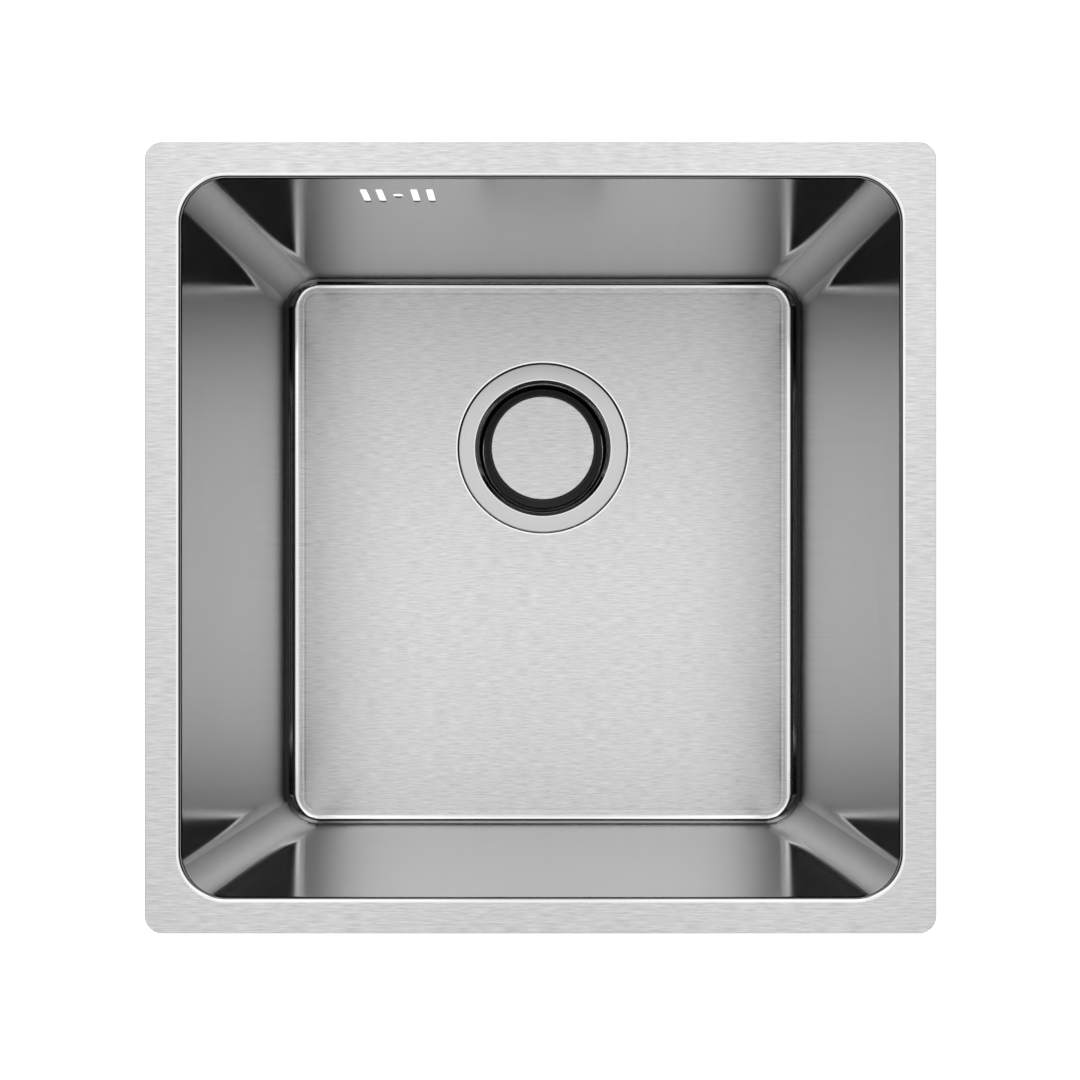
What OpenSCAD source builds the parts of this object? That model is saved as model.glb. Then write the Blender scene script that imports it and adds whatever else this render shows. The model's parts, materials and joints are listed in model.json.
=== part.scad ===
// Undermount kitchen sink of stainless steel sheet, with its basket strainer waste.
// The origin is the middle of the rim's top face. Everything hangs below it, and the overflow is at +Y.

/* [Basin] */
// Clear width of the bowl, between its side walls
bowl_w = 400; // [350:1:480]
// Clear length of the bowl, between its front and back walls
bowl_l = 400; // [370:1:480]
// Width of the flat rim round the bowl
rim_border = 20; // [14:1:40]
// Depth of the bowl, from the rim's top face to its floor
bowl_d = 200; // [170:1:240]
// Thickness of the sheet
sheet_t = 1; // [0.8:0.1:1.5]
// Corner radius of the rim, seen from above
rim_corner_r = 10; // [4:1:20]
// Radius of the upright corners between the walls
wall_corner_r = 25; // [20:1:40]
// Corner radius of the flat floor, seen from above
floor_corner_r = 12; // [8:1:18]
// Inside radius of the bend between the rim and the walls
lip_bend_r = 1.7; // [0.3:0.1:2.5]
// How far each side wall leans in, from the rim down to the floor
side_lean = 12; // [0:1:16]
// Radius between the floor and the two side walls
side_fillet_r = 10; // [6:1:20]
// Radius between the floor and the front and back walls
end_fillet_r = 6.5; // [5:0.5:20]

/* [Overflow] */
// Place of the overflow's screw hole, left or right of the middle
overflow_x = -83; // [-120:1:-70]
// Distance of the overflow's middle below the rim's top face
overflow_drop = 28; // [24:1:50]
// Diameter of the hole for the overflow's screw
overflow_hole_d = 6.4; // [4:0.1:8]
// Width of each overflow slot
slot_w = 4; // [2:0.5:6]
// Height of each overflow slot
slot_h = 20; // [8:1:24]
// Corner radius of each slot
slot_corner_r = 0.8; // [0.3:0.1:1]
// Distance from the screw hole to the nearest slot, middle to middle
slot_first = 10; // [8:0.5:14]
// Distance between the two slots of a pair, middle to middle
slot_pitch = 9; // [7:0.5:12]

/* [Sound pads] */
// Thickness of the rubber pads
pad_t = 2.5; // [1.5:0.5:4]
// Corner radius of the pads
pad_corner_r = 8; // [2:1:15]
// Height of the pads on the walls
wall_pad_h = 110; // [60:1:120]
// Distance of the wall pads below the rim's top face
wall_pad_drop = 42; // [40:1:50]
// Length of the pads on the side walls
side_pad_l = 240; // [120:1:260]
// Length of the pad on the front wall
front_pad_l = 240; // [120:1:260]
// Length of the pad on the back wall, beside the overflow
back_pad_l = 150; // [80:1:180]
// Bare margin between the floor pad and the bends and recess round it
floor_pad_margin = 10; // [4:1:30]

/* [Drain flange] */
// Distance of the drain's middle behind the middle of the bowl
drain_y = 76.5; // [40:0.5:90]
// Outside diameter of the flange
flange_d = 124; // [118:1:128]
// Inside diameter of the flange's flat ring
flange_open_d = 101; // [98:0.5:104]
// Thickness of the flange's sheet
flange_t = 0.8; // [0.6:0.1:1]
// Radius of the flange's turned-down outer edge
flange_roll_r = 1.2; // [1.1:0.1:1.4]
// Radius of the bend from the flat ring into the dish
dish_bend_r = 4; // [3:0.1:4.5]
// Depth of the seat in the dish, below the flange
seat_depth = 16; // [15.5:0.1:20]
// Inside diameter of the dish below the seat
cup_d = 77; // [76:0.5:78]
// Depth of the dish's bottom, below the flange
cup_depth = 46; // [44:0.5:52]
// Depth of the pressed recess that the flange lies in
recess_depth = 2.4; // [2:0.1:3]
// Width of the recess's sloping border
recess_border = 1.6; // [1:0.1:8]
// Thickness of the gasket under the flange
flange_gasket_t = 1.2; // [0.8:0.1:1.5]
// Thickness of the gasket under the bowl
body_gasket_t = 2; // [1:0.1:4]

/* [Waste body] */
// Width of the waste body's rim, beyond its wall
body_rim_w = 5.7; // [4:0.1:8]
// Wall of the waste body
body_wall = 2.5; // [2:0.1:3.5]
// Outside diameter of the outlet's thread
outlet_d = 47.8; // [44:0.1:60]
// Bore of the outlet
outlet_bore_d = 39; // [34:0.5:40]
// Length of the outlet's thread
outlet_l = 20; // [15:1:30]
// Outside diameter of the overflow inlet
inlet_d = 22; // [18:0.5:24]
// Bore of the overflow inlet
inlet_bore_d = 17; // [10:0.5:17]
// Distance of the inlet's end from the drain's axis
inlet_reach = 66; // [62:1:80]
// Diameter of the cap that closes the inlet
inlet_cap_d = 28; // [26:0.5:32]
// Diameter of the clamping screw
screw_d = 6; // [5:0.5:8]
// Diameter of the clamping screw's head
screw_head_d = 13; // [10:0.5:14]

/* [Basket] */
// Thickness of the basket's sheet
basket_t = 0.6; // [0.4:0.1:0.8]
// Diameter of the basket's rim
basket_rim_d = 81; // [80.5:0.1:82]
// Outside diameter of the basket's wall at the top
basket_d = 74; // [72:0.5:75]
// Outside diameter of the basket at the bottom
basket_foot_d = 69; // [64:0.5:70]
// Depth of the basket's underside, below the flange
basket_depth = 40; // [39:0.5:41]
// Number of slots round the basket's wall
basket_slots = 20; // [12:1:24]
// Width of the basket's slots
basket_slot_w = 2.2; // [1.5:0.1:3]
// Diameter of the holes in the basket's bottom
basket_hole_d = 2.6; // [2:0.1:3]
// Inside diameter of the core
core_bore_d = 14.4; // [14:0.1:15]
// Wall of the core
core_wall = 2.3; // [1.5:0.1:2.5]

/* [Plug] */
// Diameter of the steel cover
cover_d = 76; // [70:0.1:78]
// Thickness of the steel cover
cover_t = 0.8; // [0.6:0.1:1]
// Height of the cover's top above the flange
cover_rise = 1.5; // [1:0.1:3]
// Diameter of the black plug round the cover
plug_d = 88; // [85:0.1:88.5]
// Slope of the plug's rim, measured as its drop
plug_rim_drop = 2.5; // [1.5:0.1:3]
// Travel of the plug from closed to open
plug_travel = 9; // [6:0.5:9]
// Diameter of the plug's stem
stem_d = 5; // [4:0.1:5.5]
// Diameter of the spring's wire
spring_wire_d = 0.9; // [0.6:0.1:1]
// Number of the spring's turns
spring_turns = 6; // [4:0.5:7]

/* [Hidden] */

$fn = 96;

// Clearance between pieces that rest on each other and move apart
rest_gap = 0.3;
// Clearance round a stem, screw or insert
fit_gap = 0.1;
// Layer of glue behind each pad
glue_gap = 0.1;
// How far a cutting shape passes a face, and how far joined shapes run into each other
cut = 2;

// Loft of the bowl: steps round a corner, up a floor fillet and round the lip
corner_steps = 8;
fillet_steps = 8;
lip_steps = 4;
lip_r = lip_bend_r + sheet_t;
rim_w = bowl_w + 2 * rim_border;
rim_l = bowl_l + 2 * rim_border;

// Heights of the drain, measured from the flange's top face
flange_z = -bowl_d - recess_depth + flange_gasket_t + flange_t;
flange_r = flange_d / 2;
open_r = flange_open_d / 2;
dish_r = open_r - dish_bend_r;
dish_nook_r = 1.5;
seat_bend_r = 1.6;
cup_r = cup_d / 2;
recess_z = -flange_t - flange_gasket_t;
hole_clear = 1.4;
hole_r = dish_r + flange_t + hole_clear;
recess_clear = 0.4;
recess_r = flange_r + recess_clear;
flange_edge_gap = 0.15;

// Waste body, from the gasket down to the outlet
body_top = recess_z - sheet_t - body_gasket_t;
body_rim_t = 3.5;
body_clear = 1;
body_r = dish_r + flange_t + body_clear;
body_rim_r = body_r + body_wall + body_rim_w;
body_cup_r = cup_r + flange_t + 2 * body_clear;
shoulder_z = -seat_depth - flange_t - body_clear;
shoulder_drop = 1.5;
boss_top = -cup_depth - flange_t;
boss_r = 9;
boss_l = 14;
funnel_drop = 4;
funnel_top = boss_top - funnel_drop;
funnel_l = 11;
outlet_top = funnel_top - funnel_l;
outlet_z = outlet_top - outlet_l;
body_rib_t = 3;
body_rib_step = 1;
insert_d = 10;
insert_l = 10;
insert_z = boss_top - 3;
screw_head_l = 2.5;
screw_slot_w = 1.2;
screw_l = boss_top + cup_depth + 3 + insert_l;

// Overflow inlet, which points at the overflow
inlet_angle = atan2(bowl_l / 2 - drain_y, overflow_x);
inlet_z = shoulder_z - shoulder_drop - inlet_d / 2 - 3;
inlet_seal_t = 1.5;
inlet_cap_end_t = 2;
inlet_cap_l = 12;

// Basket and its core
rim_z = -seat_depth + rest_gap;
basket_bend_r = 1.2;
basket_foot_r = 3;
basket_slot_h = 11;
basket_slot_z = -22;
basket_hole_rings = [[16.5, 10], [21.8, 14], [27.2, 20]];
core_bore_r = core_bore_d / 2;
core_r = core_bore_r + core_wall;
core_flange_w = 3.5;
core_flange_t = 2;
core_floor_t = 1.5;
nut_t = 2.2;
core_z = -basket_depth - nut_t;
core_floor_z = core_z + core_floor_t;
hub_z = -8;
core_top = hub_z - 3;
core_cap_t = 1.8;
core_cap_top = core_top + core_cap_t;
stem_ring_d = 1.6;
stem_r = stem_d / 2;

// Plug, hub and stem
cover_r = cover_d / 2;
cover_edge_r = 0.7;
cover_skirt = 2;
plug_r = plug_d / 2;
plug_top_r = cover_r + 1.2;
plug_groove_z = cover_rise - cover_skirt - rest_gap;
plug_edge_r = 0.6;
plug_web_z = -2;
plug_skirt_t = 2;
plug_rib_t = 1.6;
hub_r = 7;
seal_groove_top = -9;
seal_groove_h = 3;
seal_groove_d = 1.8;
seal_lip_t = 1.1;
seal_z = -seat_depth + rest_gap;
collar_r = core_bore_r - 0.8;
collar_t = 2;
latch_t = 3.5;
latch_top = core_top - stem_ring_d - plug_travel - rest_gap;
collar_z = latch_top - latch_t - collar_t;
stem_z = core_z + 0.2;

// Spring between the core's floor and the stem's collar
spring_r = (stem_r + core_bore_r) / 2;
spring_low = core_floor_z + spring_wire_d / 2 + fit_gap;
spring_high = collar_z - spring_wire_d / 2 - fit_gap;
spring_rings = 8;
spring_sides = 6;

// Points of an arc round a middle point, from one angle to another
function arc(mid, r, a0, a1, n) =
    [for (i = [0:n]) let (a = a0 + (a1 - a0) * i / n) mid + r * [cos(a), sin(a)]];

// The same points in the other order
function reversed(points) = [for (i = [len(points) - 1:-1:0]) points[i]];

// Angle between a level face and a wall that leans in by lean at the floor
function bend_turn(lean) = 90 - atan(lean / bowl_d);

// Half the span of the bowl on its floor fillet. k runs from 0 at the floor to 1 at the wall.
function fillet_half(span, r, lean, k, out) =
    let (turn = bend_turn(lean))
    span / 2 - lean - r * tan(turn / 2) + (r + out) * sin(turn * k);

function fillet_z(r, lean, k, out) = -bowl_d + r - (r + out) * cos(bend_turn(lean) * k);

// Ring of points round the bowl, with z running from the sides' height to the ends' height in each corner
function ring(half_x, half_y, r, z_side, z_end) = [
    for (q = [0:3]) for (i = [0:corner_steps])
        let (
            a = 90 * (q + i / corner_steps),
            x_sign = (q == 0 || q == 3) ? 1 : -1,
            y_sign = q < 2 ? 1 : -1,
            blend = pow(sin(a), 2))
        [x_sign * (half_x - r) + r * cos(a),
         y_sign * (half_y - r) + r * sin(a),
         z_side * (1 - blend) + z_end * blend]];

// Ring on the floor fillet, with out as the distance below or outside the water face
function fillet_ring(k, out) = ring(
    fillet_half(bowl_w, side_fillet_r, side_lean, k, out),
    fillet_half(bowl_l, end_fillet_r, 0, k, out),
    floor_corner_r + (wall_corner_r - floor_corner_r + out) * sin(90 * k),
    fillet_z(side_fillet_r, side_lean, k, out),
    fillet_z(end_fillet_r, 0, k, out));

// How far the lip reaches beyond the bowl's clear span. k runs from 0 at the rim to 1 at the wall.
function lip_reach(lean, k, out) =
    let (turn = bend_turn(lean))
    lip_r * tan(turn / 2) - (lip_r - out) * sin(turn * k);

function lip_z(lean, k, out) = -lip_r + (lip_r - out) * cos(bend_turn(lean) * k);

function lip_ring(k, out) = ring(
    bowl_w / 2 + lip_reach(side_lean, k, out),
    bowl_l / 2 + lip_reach(0, k, out),
    wall_corner_r + lip_reach(0, k, out),
    lip_z(side_lean, k, out),
    lip_z(0, k, out));

// The sheet of the bowl: up the water face, over the rim and down the outside
module bowl_sheet() {
    rings = concat(
        [for (i = [0:fillet_steps]) fillet_ring(i / fillet_steps, 0)],
        [for (i = [lip_steps:-1:0]) lip_ring(i / lip_steps, 0)],
        [ring(rim_w / 2, rim_l / 2, rim_corner_r, 0, 0)],
        [ring(rim_w / 2, rim_l / 2, rim_corner_r, -sheet_t, -sheet_t)],
        [for (i = [0:lip_steps]) lip_ring(i / lip_steps, sheet_t)],
        [for (i = [fillet_steps:-1:0]) fillet_ring(i / fillet_steps, sheet_t)]);
    count = len(rings[0]);
    last = (len(rings) - 1) * count;
    polyhedron(
        points = [for (points = rings) each points],
        faces = concat(
            [reversed([for (i = [0:count - 1]) i])],
            [for (j = [0:len(rings) - 2]) for (i = [0:count - 1])
                let (a = j * count + i, b = j * count + (i + 1) % count)
                each [[a, b, b + count], [a, b + count, a + count]]],
            [[for (i = [0:count - 1]) last + i]]),
        convexity = 6);
}

// Sloping border of the drain recess, as a smooth wave from its bottom to the floor
function recess_wave(low, high, grow) = [
    for (i = [0:8]) [
        recess_r + grow + recess_border * i / 8,
        low + (high - low) * (1 - cos(180 * i / 8)) / 2]];

module recess(top, low, grow, close) {
    wave = recess_wave(low, top, grow);
    translate([0, drain_y, 0])
        rotate_extrude()
            polygon(concat([[0, low]], wave, [[recess_r + recess_border, close], [0, close]]));
}

// Flat rectangle with round corners, centred on the origin
module rounded_rectangle(w, l, r) {
    square([w - 2 * r, l], center = true);
    square([w, l - 2 * r], center = true);
    for (x = [-1, 1]) for (y = [-1, 1])
        translate([x * (w / 2 - r), y * (l / 2 - r)]) circle(r);
}

// Four slots and the screw hole between them, cut through the back wall
module overflow_cuts() {
    translate([overflow_x, bowl_l / 2 + sheet_t + cut, -overflow_drop])
        rotate([90, 0, 0]) {
            cylinder(d = overflow_hole_d, h = sheet_t + 2 * cut);
            linear_extrude(sheet_t + 2 * cut)
                for (side = [-1, 1]) for (i = [0, 1])
                    translate([side * (slot_first + i * slot_pitch), 0])
                        rounded_rectangle(slot_w, slot_h, slot_corner_r);
        }
}

module bowl() {
    color("silver")
        difference() {
            union() {
                bowl_sheet();
                recess(-bowl_d - sheet_t, -bowl_d - sheet_t - recess_depth, 0.4 * sheet_t, -bowl_d - sheet_t / 2);
            }
            recess(-bowl_d, -bowl_d - recess_depth, 0, -bowl_d + cut);
            translate([0, drain_y, -bowl_d - recess_depth - sheet_t - cut])
                cylinder(r = hole_r, h = recess_depth + sheet_t + 2 * cut);
            overflow_cuts();
        }
}

module pad(w, l) {
    color("dimgray") linear_extrude(pad_t) rounded_rectangle(w, l, pad_corner_r);
}

// Pad on the underside of the floor, in front of the drain
module floor_pad() {
    flat_w = 2 * fillet_half(bowl_w, side_fillet_r, side_lean, 0, 0);
    front_y = -fillet_half(bowl_l, end_fillet_r, 0, 0, 0) + floor_pad_margin;
    back_y = drain_y - recess_r - recess_border - floor_pad_margin;
    translate([0, (front_y + back_y) / 2, -bowl_d - sheet_t - glue_gap - pad_t])
        pad(flat_w - 2 * floor_pad_margin, back_y - front_y);
}

// Pad on the outside of a wall, drawn on the back wall, leant as the wall leans and turned to its side
module wall_pad(turn, half_span, lean, shift, l) {
    rotate([0, 0, turn])
        translate([0, half_span, 0])
            rotate([-atan(lean / bowl_d), 0, 0])
                translate([shift, sheet_t + glue_gap + pad_t, -wall_pad_drop - wall_pad_h / 2])
                    rotate([90, 0, 0])
                        pad(l, wall_pad_h);
}

module left_pad() {
    wall_pad(90, bowl_w / 2, side_lean, 0, side_pad_l);
}

module right_pad() {
    wall_pad(-90, bowl_w / 2, side_lean, 0, side_pad_l);
}

module front_pad() {
    wall_pad(180, bowl_l / 2, 0, 0, front_pad_l);
}

// Stands beside the overflow, as far from the middle as the overflow is on the other side
module back_pad() {
    wall_pad(0, bowl_l / 2, 0, -overflow_x - slot_first, back_pad_l);
}

// Moves a drain piece from the flange's own frame to its place in the floor
module at_drain() {
    translate([0, drain_y, flange_z]) children();
}

// Section of the dish from the flange's edge to its middle, with out as the distance below its top face
function dish_line(out) = concat(
    [[flange_r - out, recess_z + flange_edge_gap]],
    arc([flange_r - flange_roll_r, -flange_roll_r], flange_roll_r - out, 0, 90, 5),
    arc([open_r, -dish_bend_r], dish_bend_r - out, 90, 180, 8),
    arc([dish_r - dish_nook_r, dish_nook_r - seat_depth], dish_nook_r + out, 0, -90, 4),
    arc([cup_r + seat_bend_r, -seat_depth - seat_bend_r], seat_bend_r - out, 90, 180, 5),
    arc([cup_r - dish_nook_r, dish_nook_r - cup_depth], dish_nook_r + out, 0, -90, 4),
    [[screw_d / 2 + fit_gap, -cup_depth - out]]);

// Steel dish with its flange, and six kidney openings round the screw
module drain_flange() {
    kidney_in = boss_r + 3;
    kidney_out = cup_r - 8;
    kidney_angle = 42;
    color("gainsboro")
        at_drain()
            difference() {
                rotate_extrude() polygon(concat(dish_line(0), reversed(dish_line(flange_t))));
                for (i = [0:5])
                    rotate([0, 0, 60 * i])
                        translate([0, 0, -cup_depth - flange_t - cut])
                            rotate_extrude(angle = kidney_angle)
                                translate([kidney_in, 0])
                                    square([kidney_out - kidney_in, flange_t + 2 * cut]);
            }
}

module washer(outer_r, inner_r, h) {
    difference() {
        cylinder(r = outer_r, h = h);
        translate([0, 0, -cut]) cylinder(r = inner_r, h = h + 2 * cut);
    }
}

module flange_gasket() {
    color([0.12, 0.12, 0.12])
        at_drain()
            translate([0, 0, recess_z])
                washer(flange_r - flange_roll_r - 0.5, open_r + 0.5, flange_gasket_t);
}

module body_gasket() {
    color([0.12, 0.12, 0.12])
        at_drain()
            translate([0, 0, body_top])
                washer(body_rim_r - 1, hole_r, body_gasket_t);
}

// Middle of the funnel's wall, at a distance above the outlet
function funnel_point(up) = [
    outlet_bore_d / 2 + (body_cup_r - outlet_bore_d / 2) * up / funnel_l + body_wall / 2,
    outlet_top + up];

// Section of the waste body's wall
function body_line() = [
    [body_r, body_top],
    [body_r, shoulder_z],
    [body_cup_r, shoulder_z - shoulder_drop],
    [body_cup_r, funnel_top],
    [outlet_bore_d / 2, outlet_top],
    [outlet_bore_d / 2, outlet_z],
    [outlet_d / 2 - 0.8, outlet_z],
    [outlet_d / 2, outlet_z + 0.8],
    [outlet_d / 2, outlet_top - body_wall / 2],
    [body_cup_r + body_wall, funnel_top - body_wall / 2],
    [body_cup_r + body_wall, shoulder_z - shoulder_drop - body_wall],
    [body_r + body_wall, shoulder_z - body_wall / 2],
    [body_r + body_wall, body_top - body_rim_t],
    [body_rim_r, body_top - body_rim_t],
    [body_rim_r, body_top]];

module waste_body() {
    color("white")
        at_drain()
            difference() {
                union() {
                    rotate_extrude() polygon(body_line());
                    translate([0, 0, boss_top - boss_l]) cylinder(r = boss_r, h = boss_l);
                    for (i = [0:2])
                        rotate([90, 0, 120 * i + inlet_angle + 60])
                            linear_extrude(body_rib_t, center = true)
                                polygon([
                                    [0, outlet_top + 2 * body_rib_step],
                                    funnel_point(2 * body_rib_step),
                                    funnel_point(funnel_l - body_rib_step),
                                    [0, funnel_top - body_rib_step]]);
                    inlet_tube(inlet_d, body_cup_r + body_wall / 2, inlet_reach);
                }
                inlet_tube(inlet_bore_d, body_cup_r - cut, inlet_reach + cut);
                translate([0, 0, boss_top - boss_l - cut])
                    cylinder(d = screw_d + 2 * fit_gap, h = boss_l + 2 * cut);
                translate([0, 0, insert_z - insert_l])
                    cylinder(d = insert_d + 2 * fit_gap, h = insert_l, $fn = 6);
            }
}

// Round bar along the overflow inlet's axis, from one distance to another
module inlet_tube(d, from, to) {
    rotate([0, 0, inlet_angle])
        translate([from, 0, inlet_z])
            rotate([0, 90, 0])
                cylinder(d = d, h = to - from);
}

// Cheese-head screw with a straight slot
module centre_screw() {
    color("lightgray")
        at_drain()
            difference() {
                union() {
                    translate([0, 0, -cup_depth]) cylinder(d = screw_head_d, h = screw_head_l);
                    translate([0, 0, -cup_depth - screw_l]) cylinder(d = screw_d, h = screw_l + 1);
                }
                translate([-screw_head_d, -screw_slot_w / 2, -cup_depth + screw_head_l / 2])
                    cube([2 * screw_head_d, screw_slot_w, screw_head_l]);
            }
}

module screw_insert() {
    color("gold")
        at_drain()
            translate([0, 0, insert_z - insert_l])
                difference() {
                    cylinder(d = insert_d, h = insert_l, $fn = 6);
                    translate([0, 0, -cut]) cylinder(d = screw_d + fit_gap, h = insert_l + 2 * cut);
                }
}

// Blanking cap with finger flutes, screwed over the overflow inlet
module inlet_cap() {
    end = inlet_reach + inlet_seal_t + 2 * fit_gap;
    flutes = 16;
    color("white")
        at_drain()
            difference() {
                inlet_tube(inlet_cap_d, end + inlet_cap_end_t - inlet_cap_l, end + inlet_cap_end_t);
                inlet_tube(inlet_d + 2 * fit_gap, end - inlet_cap_l, end);
                rotate([0, 0, inlet_angle])
                    translate([end - inlet_cap_l, 0, inlet_z])
                        rotate([0, 90, 0])
                            for (i = [0:flutes - 1])
                                rotate([0, 0, 360 * i / flutes])
                                    translate([inlet_cap_d / 2 + 0.4, 0, 0])
                                        cylinder(r = 1, h = inlet_cap_l + cut * 2, $fn = 24);
            }
}

module inlet_seal() {
    color([0.12, 0.12, 0.12])
        at_drain()
            inlet_tube(inlet_d - 0.4, inlet_reach + fit_gap, inlet_reach + fit_gap + inlet_seal_t);
}

// Section of the basket from its rim to its middle
function basket_line(out) = concat(
    [[basket_rim_d / 2, rim_z + basket_t - out]],
    arc([basket_d / 2 - basket_t + basket_bend_r, rim_z + basket_t - basket_bend_r],
        basket_bend_r - out, 90, 176, 5),
    arc([basket_foot_d / 2 - basket_t - basket_foot_r, -basket_depth + basket_t + basket_foot_r],
        basket_foot_r + out, -4, -90, 6),
    [[core_r + fit_gap, -basket_depth + basket_t - out]]);

// Perforated cup with slots round its wall and rings of holes in its bottom
module strainer_basket() {
    color("gainsboro")
        at_drain()
            difference() {
                rotate_extrude() polygon(concat(basket_line(0), reversed(basket_line(basket_t))));
                for (i = [0:basket_slots - 1])
                    rotate([0, 0, 360 * i / basket_slots])
                        translate([basket_foot_d / 2 - 5, -basket_slot_w / 2, basket_slot_z - basket_slot_h])
                            cube([10, basket_slot_w, basket_slot_h]);
                for (row = basket_hole_rings) for (i = [0:row[1] - 1])
                    rotate([0, 0, 360 * i / row[1]])
                        translate([row[0], 0, -basket_depth - cut])
                            cylinder(d = basket_hole_d, h = basket_t + 2 * cut, $fn = 24);
            }
}

// Tube that stands in the basket, with a flange on its bottom and a floor for the spring
module core_housing() {
    color([0.15, 0.15, 0.15])
        at_drain()
            difference() {
                union() {
                    translate([0, 0, core_z]) cylinder(r = core_r, h = core_top - core_z);
                    translate([0, 0, -basket_depth + basket_t])
                        cylinder(r = core_r + core_flange_w, h = core_flange_t);
                }
                translate([0, 0, core_floor_z]) cylinder(r = core_bore_r, h = core_top - core_floor_z + cut);
                translate([0, 0, core_z - cut]) cylinder(r = stem_r + 4 * fit_gap, h = core_floor_t + 2 * cut);
            }
}

// Ring nut that holds the core from below
module housing_nut() {
    color([0.15, 0.15, 0.15])
        at_drain()
            translate([0, 0, core_z])
                washer(core_r + core_flange_w, core_r + fit_gap, nut_t);
}

// Screwed top of the core, with a hole that guides the stem
module core_cap() {
    color([0.15, 0.15, 0.15])
        at_drain()
            difference() {
                union() {
                    translate([0, 0, core_top]) cylinder(r = core_r, h = core_cap_t);
                    translate([0, 0, core_top - stem_ring_d]) cylinder(r = core_bore_r - fit_gap, h = stem_ring_d);
                }
                translate([0, 0, core_top - stem_ring_d - cut])
                    cylinder(r = stem_r + fit_gap + stem_ring_d, h = stem_ring_d + cut);
                translate([0, 0, core_top - cut]) cylinder(r = stem_r + fit_gap, h = core_cap_t + 2 * cut);
            }
}

// O-ring under the core's top, round the stem
module stem_ring() {
    color([0.12, 0.12, 0.12])
        at_drain()
            translate([0, 0, core_top - stem_ring_d / 2])
                rotate_extrude()
                    translate([stem_r + fit_gap + stem_ring_d / 2, 0])
                        circle(d = stem_ring_d - 2 * fit_gap);
}

// Middle line of the spring, from its lowest point to its highest
spring_count = spring_turns * spring_rings;
spring_path = [
    for (i = [0:spring_count])
        let (a = 360 * i / spring_rings)
        [spring_r * cos(a), spring_r * sin(a), spring_low + (spring_high - spring_low) * i / spring_count]];

// Least distance between wire faces one turn or more apart
spring_gap = min([
    for (i = [0:spring_count - spring_rings]) for (j = [i + spring_rings:spring_count])
        norm(spring_path[i] - spring_path[j]) - spring_wire_d]);
echo(spring_gap = spring_gap);

// Round wire wound as one unbroken helix
module core_spring() {
    wire_r = spring_wire_d / 2;
    points = [
        for (i = [0:spring_count]) for (k = [0:spring_sides - 1])
            let (a = 360 * i / spring_rings, b = 360 * k / spring_sides)
            spring_path[i] + [wire_r * cos(b) * cos(a), wire_r * cos(b) * sin(a), wire_r * sin(b)]];
    last = spring_count * spring_sides;
    color("silver")
        at_drain()
            polyhedron(
                points = points,
                faces = concat(
                    [[for (k = [0:spring_sides - 1]) k]],
                    [for (i = [0:spring_count - 1]) for (k = [0:spring_sides - 1])
                        let (a = i * spring_sides + k, b = i * spring_sides + (k + 1) % spring_sides)
                        each [[a, a + spring_sides, b + spring_sides], [a, b + spring_sides, b]]],
                    [reversed([for (k = [0:spring_sides - 1]) last + k])]),
                convexity = 8);
}

// Brushed steel disc with a turned-down edge
module stopper_cap() {
    edge = arc([cover_r - cover_edge_r, cover_rise - cover_edge_r], cover_edge_r, 90, 0, 5);
    color("silver")
        at_drain()
            rotate_extrude()
                polygon(concat(
                    [[0, cover_rise]],
                    edge,
                    [[cover_r, cover_rise - cover_skirt],
                     [cover_r - cover_t, cover_rise - cover_skirt],
                     [cover_r - cover_t, cover_rise - cover_t],
                     [0, cover_rise - cover_t]]));
}

// Section of the plug: seat for the cover, groove, sloping rim, skirt and seal groove
function plug_line() = concat(
    [[0, cover_rise - cover_t],
     [cover_r - cover_t - fit_gap, cover_rise - cover_t],
     [cover_r - cover_t - fit_gap, plug_groove_z],
     [cover_r + fit_gap, plug_groove_z],
     [plug_top_r - 0.5, 0],
     [plug_top_r, 0]],
    arc([plug_r - plug_edge_r, -plug_rim_drop - plug_edge_r], plug_edge_r, 60, 0, 4),
    [[plug_r, seal_groove_top],
     [plug_r - seal_groove_d, seal_groove_top],
     [plug_r - seal_groove_d, seal_groove_top - seal_groove_h],
     [plug_r - 0.8, seal_groove_top - seal_groove_h],
     [plug_r - 0.8, seal_groove_top - seal_groove_h - 1.5],
     [plug_r - seal_groove_d - plug_skirt_t, seal_groove_top - seal_groove_h - 1.5],
     [plug_r - seal_groove_d - plug_skirt_t, plug_web_z],
     [hub_r, plug_web_z],
     [hub_r, hub_z],
     [stem_r + fit_gap, hub_z],
     [stem_r + fit_gap, plug_web_z],
     [0, plug_web_z]]);

// Black plug with ribs under its web and a hub for the stem
module stopper_body() {
    rib_l = plug_r - seal_groove_d - plug_skirt_t - hub_r + 1;
    color([0.08, 0.08, 0.08])
        at_drain() {
            rotate_extrude() polygon(plug_line());
            for (i = [0:7])
                rotate([0, 0, 45 * i])
                    translate([hub_r - 0.5, -plug_rib_t / 2, plug_web_z - 3])
                        cube([rib_l, plug_rib_t, 3.5]);
        }
}

// Rubber ring in the plug's groove, with a lip that reaches down to the seat
module stopper_seal() {
    inner = plug_r - seal_groove_d + fit_gap;
    top = seal_groove_top - fit_gap;
    low = seal_groove_top - seal_groove_h + fit_gap;
    color([0.05, 0.05, 0.05])
        at_drain()
            rotate_extrude()
                polygon([
                    [inner, top], [plug_r, top], [plug_r + 0.3, low],
                    [plug_r + 0.6, seal_z], [plug_r + 0.6 - seal_lip_t, seal_z],
                    [plug_r - 0.6, low], [inner, low]]);
}

// Steel stem with the collar that the spring pushes on
module stopper_stem() {
    color("silver")
        at_drain()
            rotate_extrude()
                polygon([
                    [0, plug_web_z], [stem_r, plug_web_z], [stem_r, collar_z + collar_t],
                    [collar_r, collar_z + collar_t], [collar_r, collar_z], [stem_r, collar_z],
                    [stem_r, stem_z + 0.5], [stem_r - 0.5, stem_z], [0, stem_z]]);
}

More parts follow.
